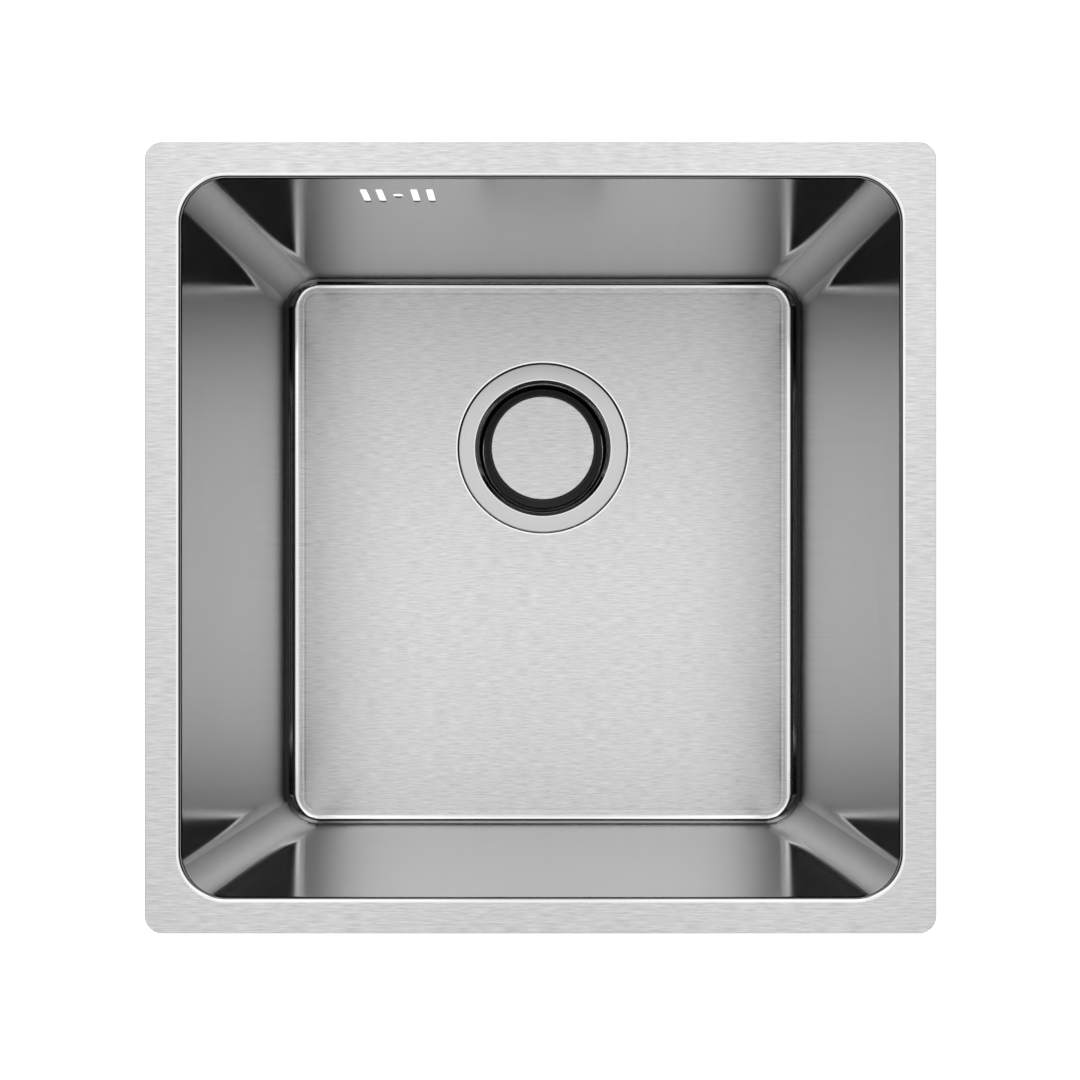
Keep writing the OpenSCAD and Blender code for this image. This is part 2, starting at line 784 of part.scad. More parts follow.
// Ring on the collar with ramps that catch under the core's top
module latch_ring() {
    teeth = 6;
    color("white")
        at_drain()
            difference() {
                translate([0, 0, latch_top - latch_t])
                    washer(collar_r, stem_r + fit_gap, latch_t);
                for (i = [0:teeth - 1])
                    rotate([0, 0, 360 * i / teeth])
                        translate([stem_r + 1.2, 0, latch_top - 1])
                            rotate([-25, 0, 0])
                                cube([core_bore_r, 3, cut]);
            }
}

bowl();
floor_pad();
left_pad();
right_pad();
front_pad();
back_pad();
drain_flange();
flange_gasket();
body_gasket();
waste_body();
centre_screw();
screw_insert();
inlet_cap();
inlet_seal();
strainer_basket();
core_housing();
housing_nut();
core_cap();
stem_ring();
core_spring();
stopper_cap();
stopper_body();
stopper_seal();
stopper_stem();
latch_ring();
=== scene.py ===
import json
import math

import bmesh
import bpy
import numpy as np
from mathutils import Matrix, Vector
from mathutils.geometry import tessellate_polygon


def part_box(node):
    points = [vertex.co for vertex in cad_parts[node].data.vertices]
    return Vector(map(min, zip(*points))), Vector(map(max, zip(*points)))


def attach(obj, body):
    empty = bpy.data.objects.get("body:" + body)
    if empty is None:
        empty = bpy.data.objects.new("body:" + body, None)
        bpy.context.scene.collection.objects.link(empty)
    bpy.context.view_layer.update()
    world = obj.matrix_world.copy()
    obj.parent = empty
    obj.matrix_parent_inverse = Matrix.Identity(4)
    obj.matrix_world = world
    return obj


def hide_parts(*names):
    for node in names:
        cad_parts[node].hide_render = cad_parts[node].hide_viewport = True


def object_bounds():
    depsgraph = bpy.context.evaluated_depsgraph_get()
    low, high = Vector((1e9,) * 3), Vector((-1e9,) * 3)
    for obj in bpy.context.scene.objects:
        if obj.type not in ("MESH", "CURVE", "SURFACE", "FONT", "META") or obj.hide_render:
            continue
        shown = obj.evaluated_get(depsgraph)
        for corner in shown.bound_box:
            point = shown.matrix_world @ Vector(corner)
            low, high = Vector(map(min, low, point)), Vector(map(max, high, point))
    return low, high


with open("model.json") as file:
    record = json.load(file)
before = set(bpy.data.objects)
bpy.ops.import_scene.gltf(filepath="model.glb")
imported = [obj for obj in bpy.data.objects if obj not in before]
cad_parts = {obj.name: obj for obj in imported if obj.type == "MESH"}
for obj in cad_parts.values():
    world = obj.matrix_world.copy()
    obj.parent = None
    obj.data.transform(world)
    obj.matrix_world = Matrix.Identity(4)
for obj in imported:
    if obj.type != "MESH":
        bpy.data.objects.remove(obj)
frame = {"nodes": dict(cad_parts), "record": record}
cad_low, cad_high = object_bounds()

MM = 0.001


def middle(node):
    """Middle of a node's box"""
    low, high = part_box(node)
    return (low + high) / 2


# Sizes in millimetres, taken from the frame where a node has them and repeated from the drawing where not
RIM_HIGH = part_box("bowl")[1]
RIM_W = 2 * RIM_HIGH.x / MM
RIM_L = 2 * RIM_HIGH.y / MM
SHEET_T = 1.0
BOWL_W = 400.0
BOWL_L = 400.0
BOWL_D = 200.0
RIM_CORNER_R = 10.0
RIM_EDGE_R = 0.45
WALL_CORNER_R = 25.0
FLOOR_CORNER_R = 12.0
LIP_R = 1.7 + SHEET_T
SIDE_LEAN = 12.0
SIDE_FILLET_R = 10.0
END_FILLET_R = 6.5
RECESS_DEPTH = 2.4
RECESS_BORDER = 1.1
RECESS_R = 62.15
RECESS_SHEET_GROW = 0.4
HOLE_R = 48.7

# Line pressed into the floor, as distances inside its bends with heights, and the soft dip round the drain
PRESS_LINE = [(0.0, 0.0), (0.7, 0.0), (1.3, -0.05), (1.9, -0.14), (2.5, -0.14), (3.1, -0.05), (3.7, 0.0)]
DIP_R = 68.0
DIP_DEPTH = 0.18

# Overflow in the back wall
OVERFLOW_X = -83.0
OVERFLOW_Z = -28.0
OVERFLOW_HOLE_R = 3.2
SLOT_W = 4.0
SLOT_H = 20.0
SLOT_CORNER_R = 0.8
SLOT_PLACES = (-19.0, -10.0, 10.0, 19.0)

# Drain, measured from the top face of its flange
DRAIN_Y = middle("drain_flange").y / MM
FLANGE_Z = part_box("drain_flange")[1].z / MM
FLANGE_R = 62.0
FLANGE_T = 0.8
FLANGE_LOW = -1.85
FLANGE_ROLL_R = 0.5
OPEN_R = 50.5
EDGE_POLISHED_W = 0.35
EDGE_BEND_R = 0.6
CONE_TILT = 31
WALL_IN = 4.0
NECK_R = 3.0
DISH_NOOK_R = 1.5
SEAT_DEPTH = 16.0
SEAT_BEND_R = 1.6
CUP_R = 38.5
CUP_DEPTH = 46.0
SCREW_R = 3.1
KIDNEYS = 6
KIDNEY_IN = 12.0
KIDNEY_OUT = 30.5
KIDNEY_ANGLE = 42
KIDNEY_TRIM = 2.0
COVER_R = 38.0
# Width of the ring of painted highlight just inside the cover disc's edge
COVER_HIGHLIGHT_W = 0.7

# Waste body
BODY_TOP = -5.0
BODY_RIM_R = 56.5
BODY_RIM_T = 3.5
BODY_RIM_ROUND_R = 0.6
BODY_R = 48.3
BODY_CUP_R = 41.3
BODY_WALL = 2.5
NOOK_R = 1.0
SHOULDER_Z = -17.8
SHOULDER_DROP = 1.5
SHOULDER_R = 1.5
SHOULDER_BEND_DROP = 0.5
CUP_BEND_DROP = 1.2
FUNNEL_TOP = -50.8
FUNNEL_R = 2.0
FUNNEL_BEND_DROP = 0.4
OUTLET_TOP = -61.8
OUTLET_Z = -81.8
OUTLET_R = 23.9
OUTLET_BORE_R = 19.5
OUTLET_NOOK_R = 1.5
OUTLET_MOUTH_R = 0.4
OUTLET_CHAMFER = 0.3
THREAD_PITCH = 2.309
THREAD_DEPTH = 1.1
THREAD_FROM_TOP = 2.5
THREAD_FROM_END = 1.2
THREAD_ROWS_PER_TURN = 10
THREAD_CREST = 1.25
BOSS_R = 9.0
BOSS_TOP = -46.8
BOSS_L = 14.0
SCREW_BORE_R = 3.1
RIBS = 3
RIB_T = 3.0
RIB_SHAPE = ((6, -59.8), (23.4, -59.8), (40.5, -52.0), (6, -52.0))
GUSSETS = 12
GUSSET_T = 1.8
GUSSET_H = 7.0
GUSSET_TIP_H = 0.6
GUSSET_FROM_EDGE = 1.0
GUSSET_INTO_WALL = 0.3
GUSSET_INTO_RIM = 0.2
INLET_ANGLE = math.atan2(BOWL_L / 2 - DRAIN_Y, OVERFLOW_X)
INLET_Z = -33.3
INLET_R = 11.0
INLET_BORE_R = 8.5
INLET_REACH = 66.0
INLET_START = BODY_CUP_R + 1.5
STOP_RING = (49.5, 51.5)
STOP_RING_H = 1.2
STOP_RING_INTO = 0.3

# Sound pads
PAD_T = 2.5
PAD_CORNER_R = 8.0
PAD_CORNER_STEPS = 8
PAD_EDGE = 0.4
PAD_ROUND = 0.3
PAD_GLUE = 0.1
PAD_DROP = 42.0
PAD_H = 110.0
PAD_W = 240.0
BACK_PAD_W = 150.0
BACK_PAD_X = 73.0
PAD_CELL = 9.0
PAD_CELL_GAP = 1.4
PAD_MARGIN = 3.0
PAD_RELIEF = 0.5
PAD_SINK = 0.05

# Steps of the fine meshes
CORNER_STEPS = 24
CORNER_EDGE_STEPS = 5
BEND_STEPS = 90
BEND_FINE_STEPS = 15
BEND_WIDE_STEP = 3
FLOOR_FINISH_STEPS = 12
BEND_POLISHED_STEPS = 19
LIP_STEPS = 10
EDGE_STEPS = 4
DIP_STEPS = 10
DIP_POLISHED_STEPS = 2
RECESS_STEPS = 10
SLOT_CORNER_STEPS = 6
DISH_FLANGE_ROWS = 8
KIDNEY_STEPS = 10
ROUND_STEPS = 160
BOSS_STEPS = 48
INLET_STEPS = 64
SHARP_ANGLE = 32
SLOPE_STEP = 0.001
SLOPE_TURN = 0.05


# Order of the finishes on the bowl and on the dish
BRUSHED, FINE, POLISHED, GROUND = range(4)
SATIN, BRIGHT = range(2)


class Shell:
    """Faces of one piece, each with its finish, and each corner with its own normal where one is given"""

    def __init__(self):
        self.points = []
        self.faces = []
        self.normals = []
        self.finishes = []
        self.finish = BRUSHED

    def add(self, points):
        first = len(self.points)
        self.points.extend(points)
        return list(range(first, len(self.points)))

    def face(self, corners, normals=()):
        self.faces.append(list(corners))
        self.normals.extend(normals)
        self.finishes.append(self.finish)

    def band(self, low, high, low_normals=None, high_normals=None, skip=()):
        """Quads between two rings of the same count"""
        count = len(low)
        for i in range(count):
            j = (i + 1) % count
            if i in skip:
                continue
            normals = ()
            if low_normals:
                normals = (low_normals[i], high_normals[i], high_normals[j], low_normals[j])
            self.face((low[i], high[i], high[j], low[j]), normals)

    def tube(self, rings, close=True):
        """Bands through rings of points, and from the last back to the first"""
        rows = [self.add(points) for points in rings]
        for low, high in zip(rows, rows[1:] + (rows[:1] if close else [])):
            self.band(low, high)
        return rows

    def solid(self, low_ring, high_ring):
        """Prism between two rings of points"""
        low, high = self.tube([low_ring, high_ring], close=False)
        self.face(list(reversed(low)))
        self.face(high)

    def flat(self, loops, normal, smooth=True):
        """Flat face with holes, whose loops are lists of indices"""
        order = [i for loop in loops for i in loop]
        places = [[Vector(self.points[i]) for i in loop] for loop in loops]
        for triangle in tessellate_polygon(places):
            corners = [order[i] for i in triangle]
            a, b, c = (Vector(self.points[i]) for i in corners)
            if (b - a).cross(c - a).dot(Vector(normal)) < 0:
                corners.reverse()
            self.face(corners, [normal] * 3 if smooth else ())

    def piece(self, name, body, materials, replaced=None):
        """Mesh object that rides on a body. Without normals of its own it is sharp at its corners."""
        mesh = bpy.data.meshes.new(name)
        points = (np.array(self.points, float) * MM).tolist()
        mesh.from_pydata(points, [], self.faces)
        mesh.polygons.foreach_set("use_smooth", [True] * len(mesh.polygons))
        mesh.polygons.foreach_set("material_index", self.finishes)
        if self.normals:
            mesh.normals_split_custom_set(self.normals)
        else:
            form = bmesh.new()
            form.from_mesh(mesh)
            bmesh.ops.recalc_face_normals(form, faces=form.faces)
            form.to_mesh(mesh)
            form.free()
            mesh.set_sharp_from_angle(angle=math.radians(SHARP_ANGLE))
        for material in materials:
            mesh.materials.append(material)
        made = bpy.data.objects.new(name, mesh)
        bpy.context.scene.collection.objects.link(made)
        if replaced:
            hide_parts(replaced)
        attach(made, body)
        return made


def unit(vectors):
    return vectors / np.linalg.norm(vectors, axis=-1, keepdims=True)


# Angles round the bowl, corner by corner, from the right side over the back
CORNER_PLACES = [(q, i) for q in range(4) for i in range(CORNER_STEPS + 1)]
CORNER_ANGLES = np.array([90 * (q + i / CORNER_STEPS) for q, i in CORNER_PLACES])
X_SIGNS = np.array([1 if q in (0, 3) else -1 for q, i in CORNER_PLACES])
Y_SIGNS = np.array([1 if q < 2 else -1 for q, i in CORNER_PLACES])

# Steps of a ring that lie on the back wall, on the ground middle of the corners, and elsewhere
BACK_GAP = CORNER_STEPS
GROUND_STEPS = range(CORNER_EDGE_STEPS, CORNER_STEPS - CORNER_EDGE_STEPS)
CORNERS = [place for place, (q, i) in enumerate(CORNER_PLACES) if i in GROUND_STEPS]
WALLS = [place for place, (q, i) in enumerate(CORNER_PLACES) if i not in GROUND_STEPS]


def ring(half_x, half_y, r, z_side, z_end, turn=0.0):
    """Ring of points round the bowl, with z running from the sides' height to the ends' in each corner"""
    a = np.radians(CORNER_ANGLES + turn)
    blend = np.sin(a) ** 2
    return np.stack(
        [
            X_SIGNS * (half_x - r) + r * np.cos(a),
            Y_SIGNS * (half_y - r) + r * np.sin(a),
            z_side * (1 - blend) + z_end * blend,
        ],
        axis=1,
    )


def straight_up():
    """Normals of a level face, one for each step of a ring"""
    return np.tile([0.0, 0.0, 1.0], (len(CORNER_ANGLES), 1))


def bend_turn(lean):
    """Angle between a level face and a wall that leans in by lean at the floor"""
    return math.pi / 2 - math.atan(lean / BOWL_D)


def fillet_half(span, r, lean, k, out):
    """Distance from the middle to the bend of a wall, where out is the depth below the water face"""
    turn = bend_turn(lean)
    return span / 2 - lean - r * math.tan(turn / 2) + (r + out) * math.sin(turn * k)


def fillet_z(r, lean, k, out):
    """Height of that bend"""
    return -BOWL_D + r - (r + out) * math.cos(bend_turn(lean) * k)


def fillet_ring(k, out, turn=0.0):
    """Ring on the bend between floor and walls, where k runs from 0 at the floor to 1 at the wall"""
    return ring(
        fillet_half(BOWL_W, SIDE_FILLET_R, SIDE_LEAN, k, out),
        fillet_half(BOWL_L, END_FILLET_R, 0, k, out),
        FLOOR_CORNER_R + (WALL_CORNER_R - FLOOR_CORNER_R + out) * math.sin(math.pi / 2 * k),
        fillet_z(SIDE_FILLET_R, SIDE_LEAN, k, out),
        fillet_z(END_FILLET_R, 0, k, out),
        turn,
    )


def fillet_normals(k, out):
    """Normals of the water face, from the slopes along and across the ring"""
    if k <= 0:
        return straight_up()
    up = fillet_ring(k + SLOPE_STEP, out) - fillet_ring(k - SLOPE_STEP, out)
    along = fillet_ring(k, out, SLOPE_TURN) - fillet_ring(k, out, -SLOPE_TURN)
    return unit(np.cross(up, along))


def level_normals(tilt):
    """Normals that lean outwards by tilt, measured from straight up"""
    a = np.radians(CORNER_ANGLES)
    t = math.radians(tilt)
    return np.stack(
        [np.cos(a) * math.sin(t), np.sin(a) * math.sin(t), np.full(len(a), math.cos(t))],
        axis=1,
    )


def lip_ring(k, out, turn=0.0):
    """Ring on the bend between rim and walls, where k runs from 0 at the rim to 1 at the wall"""
    halves, heights = [], []
    for span, lean in ((BOWL_W, SIDE_LEAN), (BOWL_L, 0)):
        tilt = bend_turn(lean) * k
        halves.append(span / 2 + LIP_R * math.tan(bend_turn(lean) / 2) - (LIP_R - out) * math.sin(tilt))
        heights.append(-LIP_R + (LIP_R - out) * math.cos(tilt))
    return ring(*halves, WALL_CORNER_R + halves[1] - BOWL_L / 2, *heights, turn)


def lip_normals(k, out):
    """Normals of the lip, from the slopes along and across the ring"""
    if k <= 0:
        return straight_up()
    up = lip_ring(k - SLOPE_STEP, out) - lip_ring(k + SLOPE_STEP, out)
    along = lip_ring(k, out, SLOPE_TURN) - lip_ring(k, out, -SLOPE_TURN)
    return unit(np.cross(up, along))


def edge_ring(tilt, z, side):
    """Ring on the ground edge of the rim, on its upper side or its lower side"""
    t = math.radians(tilt)
    grow = RIM_EDGE_R * (math.sin(t) - 1)
    z = z + side * RIM_EDGE_R * (abs(math.cos(t)) - 1)
    return ring(RIM_W / 2 + grow, RIM_L / 2 + grow, RIM_CORNER_R + grow, z, z)


def fillet_shares():
    """Shares of the bend: fine steps by the floor and wider ones above"""
    wide_from = BEND_FINE_STEPS + BEND_WIDE_STEP
    steps = [*range(BEND_FINE_STEPS + 1), *range(wide_from, BEND_STEPS + 1, BEND_WIDE_STEP)]
    return [i / BEND_STEPS for i in steps]


def circle(r, z, steps=ROUND_STEPS):
    """Ring of points round the drain's axis"""
    turns = [2 * math.pi * i / steps for i in range(steps)]
    return [(r * math.cos(a), DRAIN_Y + r * math.sin(a), z) for a in turns]


def circle_normals(slope_r, slope_z):
    """Normals round a revolved band, from their outward and upward parts"""
    length = math.hypot(slope_r, slope_z)
    turns = [2 * math.pi * i / ROUND_STEPS for i in range(ROUND_STEPS)]
    return [
        (slope_r / length * math.cos(a), slope_r / length * math.sin(a), slope_z / length) for a in turns
    ]


def round_cornered(w, h, r, inset, steps):
    """Outline of a rectangle with round corners, drawn smaller by an inset on every side"""
    points = []
    for q, (sx, sy) in enumerate([(1, 1), (-1, 1), (-1, -1), (1, -1)]):
        for i in range(steps + 1):
            a = math.pi / 2 * (q + i / steps)
            across = sx * (w / 2 - r) + (r - inset) * math.cos(a)
            up = sy * (h / 2 - r) + (r - inset) * math.sin(a)
            points.append((across, up))
    return points


def overflow_loop(x, w, h, r, y):
    """Outline of a slot or hole in the back wall"""
    outline = round_cornered(w, h, r, 0, SLOT_CORNER_STEPS)
    return [(OVERFLOW_X + x + across, y, OVERFLOW_Z + up) for across, up in outline]


def recess_wave(t):
    """Height above the recess's bottom and slope, over its sloping border"""
    height = RECESS_DEPTH * (1 - math.cos(math.pi * t)) / 2
    slope = RECESS_DEPTH / RECESS_BORDER * math.pi / 2 * math.sin(math.pi * t)
    return height, slope


def inset_ring(inset, z):
    """Ring on the flat floor, inside the start of its bends"""
    half_x = fillet_half(BOWL_W, SIDE_FILLET_R, SIDE_LEAN, 0, 0) - inset
    half_y = fillet_half(BOWL_L, END_FILLET_R, 0, 0, 0) - inset
    return ring(half_x, half_y, FLOOR_CORNER_R - inset, z, z)


def press_normals(slope):
    """Normals on the line pressed into the floor, from its slope"""
    a = np.radians(CORNER_ANGLES)
    return unit(np.stack([slope * np.cos(a), slope * np.sin(a), np.ones(len(a))], axis=1))


def bowl_rows():
    """Rings of the bowl from the floor over the rim and back under the floor, and where its parts begin"""
    rows = []
    for i in range(len(PRESS_LINE) - 1, 0, -1):
        inset, drop = PRESS_LINE[i]
        before, after = PRESS_LINE[i - 1], PRESS_LINE[min(i + 1, len(PRESS_LINE) - 1)]
        slope = (before[1] - after[1]) / (after[0] - before[0])
        rows.append((inset_ring(inset, drop - BOWL_D), press_normals(-slope)))
    for k in fillet_shares():
        rows.append((fillet_ring(k, 0), fillet_normals(k, 0)))
    starts = {"wall": len(rows) - 1}
    for i in range(LIP_STEPS, -1, -1):
        rows.append((lip_ring(i / LIP_STEPS, 0), lip_normals(i / LIP_STEPS, 0)))
    starts["rim"] = len(rows) - 1
    starts["edge"] = len(rows)
    for i in range(EDGE_STEPS + 1):
        tilt = 90 * i / EDGE_STEPS
        rows.append((edge_ring(tilt, 0, 1), level_normals(tilt)))
    for i in range(EDGE_STEPS, -1, -1):
        tilt = 90 * i / EDGE_STEPS
        rows.append((edge_ring(tilt, -SHEET_T, -1), level_normals(tilt) * [1, 1, -1]))
    for i in range(LIP_STEPS + 1):
        rows.append((lip_ring(i / LIP_STEPS, SHEET_T), -lip_normals(i / LIP_STEPS, SHEET_T)))
    starts["outer_wall"] = len(rows) - 1
    for k in reversed(fillet_shares()):
        rows.append((fillet_ring(k, SHEET_T), -fillet_normals(k, SHEET_T)))
    return rows, starts


def row_finish(j, starts):
    """Finish of one row of the bowl: polished bends, lips and rim edge, finer walls and the rest brushed"""
    polished_from = len(PRESS_LINE) + FLOOR_FINISH_STEPS
    polished_to = polished_from + BEND_POLISHED_STEPS
    if polished_from <= j < polished_to or starts["wall"] < j < starts["rim"]:
        return POLISHED
    if starts["edge"] <= j < starts["edge"] + EDGE_STEPS:
        return POLISHED
    if polished_to <= j <= starts["wall"] or j >= starts["outer_wall"] - LIP_STEPS // 2:
        return FINE
    return BRUSHED


def bowl_overflow(shell, borders):
    """Back wall between its border's corners, with the overflow's slots and screw hole cut through it"""
    shell.finish = FINE
    shapes = [(x, SLOT_W, SLOT_H, SLOT_CORNER_R) for x in SLOT_PLACES]
    shapes.append((0, 2 * OVERFLOW_HOLE_R, 2 * OVERFLOW_HOLE_R, OVERFLOW_HOLE_R))
    inner = [shell.add(overflow_loop(*shape, BOWL_L / 2)) for shape in shapes]
    outer = [shell.add(overflow_loop(*shape, BOWL_L / 2 + SHEET_T)) for shape in shapes]
    for border, loops, normal in zip(borders, (inner, outer), ((0, -1, 0), (0, 1, 0))):
        shell.flat([border] + loops, normal)
    for near, far in zip(inner, outer):
        places = [Vector(shell.points[i]) for i in near]
        cut = []
        for before, after in zip(places[-1:] + places[:-1], places[1:] + places[:1]):
            cut.append(tuple(Vector((0, -1, 0)).cross(after - before).normalized()))
        shell.band(far, near, cut, cut)


def bowl_floor(shell, border, low_border):
    """Floor inside its border, with the soft dip and the recess for the drain, and its underside"""
    shell.finish = BRUSHED
    previous, previous_normals = shell.add(circle(DIP_R, -BOWL_D)), circle_normals(0, 1)
    shell.flat([border, previous], (0, 0, 1))
    dip_w = DIP_R - RECESS_R - RECESS_BORDER
    for i in range(1, DIP_STEPS + 1):
        shell.finish = POLISHED if i > DIP_STEPS - DIP_POLISHED_STEPS else BRUSHED
        turn = math.pi / 2 * i / DIP_STEPS
        drop = DIP_DEPTH * (1 - math.cos(turn))
        slope = DIP_DEPTH / dip_w * math.pi / 2 * math.sin(turn)
        row = shell.add(circle(DIP_R - dip_w * i / DIP_STEPS, -BOWL_D - drop))
        row_normals = circle_normals(-slope, 1)
        shell.band(row, previous, row_normals, previous_normals)
        previous, previous_normals = row, row_normals
    shell.finish = BRUSHED
    low_z = -BOWL_D - RECESS_DEPTH
    for i in range(RECESS_STEPS - 1, -1, -1):
        height, slope = recess_wave(i / RECESS_STEPS)
        r = RECESS_R + RECESS_BORDER * i / RECESS_STEPS
        row = shell.add(circle(r, low_z + height * (1 - DIP_DEPTH / RECESS_DEPTH)))
        row_normals = circle_normals(-slope, 1)
        shell.band(row, previous, row_normals, previous_normals)
        previous, previous_normals = row, row_normals
    hole = shell.add(circle(HOLE_R, low_z))
    shell.band(hole, previous, circle_normals(0, 1), previous_normals)
    low_hole = shell.add(circle(HOLE_R, low_z - SHEET_T))
    shell.band(low_hole, hole, circle_normals(-1, 0), circle_normals(-1, 0))

    shell.finish = FINE
    previous, previous_normals = low_hole, circle_normals(0, -1)
    for i in range(RECESS_STEPS + 1):
        height, slope = recess_wave(i / RECESS_STEPS)
        r = RECESS_R + RECESS_SHEET_GROW + RECESS_BORDER * i / RECESS_STEPS
        row = shell.add(circle(r, low_z - SHEET_T + height))
        row_normals = circle_normals(slope, -1)
        shell.band(row, previous, row_normals, previous_normals)
        previous, previous_normals = row, row_normals
    shell.flat([low_border, previous], (0, 0, -1))


def bowl():
    """Bowl of sheet, with corners that are ground by hand"""
    shell = Shell()
    rows, starts = bowl_rows()
    indices = [shell.add(points.tolist()) for points, _ in rows]
    normals = [made.tolist() for _, made in rows]
    borders = []
    for j in range(len(rows) - 1):
        low, high, skip = indices[j], indices[j + 1], []
        low_normals, high_normals = normals[j], normals[j + 1]
        if j in (starts["wall"], starts["outer_wall"]):
            skip = [BACK_GAP]
            low_normals = high_normals = normals[j if j == starts["wall"] else j + 1]
            borders.append([low[BACK_GAP], low[BACK_GAP + 1], high[BACK_GAP + 1], high[BACK_GAP]])
        if j == starts["wall"]:
            shell.finish = GROUND
            shell.band(low, high, low_normals, high_normals, skip=WALLS)
            skip = CORNERS + skip
        shell.finish = row_finish(j, starts)
        shell.band(low, high, low_normals, high_normals, skip=skip)
    bowl_overflow(shell, borders)
    bowl_floor(shell, indices[0], indices[-1])
    finishes = [FLOOR_STEEL, WALL_STEEL, EDGE_STEEL, CORNER_STEEL]
    shell.piece("pressed_bowl", "basin", finishes, "bowl")


def arc(mid_r, mid_z, r, start, end, steps):
    """Points of an arc in a section, as distance from the drain's axis and height"""
    turns = [math.radians(start + (end - start) * i / steps) for i in range(steps + 1)]
    return [(mid_r + r * math.cos(a), mid_z + r * math.sin(a)) for a in turns]


def drain_ring(r, z, steps=ROUND_STEPS):
    """Ring round the drain's axis, with its height measured from the flange's top face"""
    return circle(r, FLANGE_Z + z, steps)


def sheet_bend(mid_r, mid_z, r, start, end, steps):
    """Arc of a bend, or its sharp corner on the side where the sheet is thicker than the bend's radius"""
    if r > 0:
        return arc(mid_r, mid_z, r, start, end, steps)
    reach = r / math.cos(math.radians((end - start) / 2))
    a = math.radians((start + end) / 2)
    return [(mid_r + reach * math.cos(a), mid_z + reach * math.sin(a))] * (steps + 1)


def neck_z():
    """Height of the middle of the bend that joins the cone inside the flange to the dish's wall"""
    tilt = math.radians(CONE_TILT)
    cone_w = WALL_IN - EDGE_BEND_R * math.sin(tilt) - NECK_R * (1 - math.sin(tilt))
    return -EDGE_BEND_R * (1 - math.cos(tilt)) - cone_w * math.tan(tilt) - NECK_R * math.cos(tilt)


def dish_line(out):
    """Section of the dish from the flange's edge to its bottom. out is the distance below its top face."""
    return (
        [(FLANGE_R - out, FLANGE_LOW)]
        + sheet_bend(FLANGE_R - FLANGE_ROLL_R, -FLANGE_ROLL_R, FLANGE_ROLL_R - out, 0, 90, 5)
        + [(OPEN_R + EDGE_POLISHED_W, -out)]
        + sheet_bend(OPEN_R, -EDGE_BEND_R, EDGE_BEND_R - out, 90, 90 + CONE_TILT, 4)
        + arc(OPEN_R - WALL_IN + NECK_R, neck_z(), NECK_R - out, 90 + CONE_TILT, 180, 10)
        + arc(OPEN_R - WALL_IN - DISH_NOOK_R, DISH_NOOK_R - SEAT_DEPTH, DISH_NOOK_R + out, 0, -90, 6)
        + arc(CUP_R + SEAT_BEND_R, -SEAT_DEPTH - SEAT_BEND_R, SEAT_BEND_R - out, 90, 180, 8)
        + arc(CUP_R - DISH_NOOK_R, DISH_NOOK_R - CUP_DEPTH, DISH_NOOK_R + out, 0, -90, 6)
    )


def kidney(i, z):
    """Outline of one drain opening, with its corners trimmed at both ends of its arcs"""
    points = []
    for r, shares in ((KIDNEY_OUT, range(KIDNEY_STEPS + 1)), (KIDNEY_IN, range(KIDNEY_STEPS, -1, -1))):
        trim = math.degrees(KIDNEY_TRIM / r)
        for j in shares:
            a = math.radians(360 / KIDNEYS * i + trim + (KIDNEY_ANGLE - 2 * trim) * j / KIDNEY_STEPS)
            points.append((r * math.cos(a), DRAIN_Y + r * math.sin(a), FLANGE_Z + z))
    return points


def dish():
    """Steel dish of the drain, with its flange and its kidney openings round the screw"""
    shell = Shell()
    edges = []
    for out, upward in ((0, 1), (FLANGE_T, -1)):
        rings = [drain_ring(*point) for point in dish_line(out)]
        shell.finish = SATIN
        flange = shell.tube(rings[:DISH_FLANGE_ROWS], close=False)
        shell.finish = BRIGHT
        rows = shell.tube(rings[DISH_FLANGE_ROWS:], close=False)
        shell.band(flange[-1], rows[0])
        z = -CUP_DEPTH - out
        hole = shell.add(drain_ring(SCREW_R, z))
        kidneys = [shell.add(kidney(i, z)) for i in range(KIDNEYS)]
        shell.flat([rows[-1], hole] + kidneys, (0, 0, upward), smooth=False)
        edges.append([flange[0], hole] + kidneys)
    for low, high in zip(*edges):
        shell.band(low, high)
    shell.piece("pressed_dish", "basin", [SATIN_STEEL, EDGE_STEEL], "drain_flange")


def body_outside():
    """Outer section of the waste body, from its rim down to its outlet"""
    round_r = BODY_RIM_ROUND_R
    rim_low = BODY_TOP - BODY_RIM_T
    wall_r = BODY_R + BODY_WALL
    cup_r = BODY_CUP_R + BODY_WALL
    return (
        arc(BODY_RIM_R - round_r, BODY_TOP - round_r, round_r, 90, 0, 3)
        + arc(BODY_RIM_R - round_r, rim_low + round_r, round_r, 0, -90, 3)
        + arc(wall_r + NOOK_R, rim_low - NOOK_R, NOOK_R, 90, 180, 4)
        + arc(wall_r - SHOULDER_R, SHOULDER_Z - SHOULDER_BEND_DROP, SHOULDER_R, 0, -45, 3)
        + arc(cup_r + NOOK_R, SHOULDER_Z - SHOULDER_DROP - BODY_WALL - CUP_BEND_DROP, NOOK_R, 135, 180, 3)
        + arc(cup_r - FUNNEL_R, FUNNEL_TOP - FUNNEL_BEND_DROP, FUNNEL_R, 0, -60, 4)
        + arc(OUTLET_R + OUTLET_NOOK_R, OUTLET_TOP - FUNNEL_BEND_DROP, OUTLET_NOOK_R, 120, 180, 4)
    )


def body_inside():
    """Inner section of the waste body, from its outlet up to its rim"""
    cup_top = SHOULDER_Z - SHOULDER_DROP
    mouth_r = OUTLET_MOUTH_R
    return arc(OUTLET_BORE_R + mouth_r, OUTLET_Z + mouth_r, mouth_r, 270, 180, 3) + [
        (OUTLET_BORE_R, OUTLET_TOP),
        (BODY_CUP_R, FUNNEL_TOP),
        (BODY_CUP_R, cup_top),
        (BODY_R, SHOULDER_Z),
        (BODY_R, BODY_TOP),
    ]


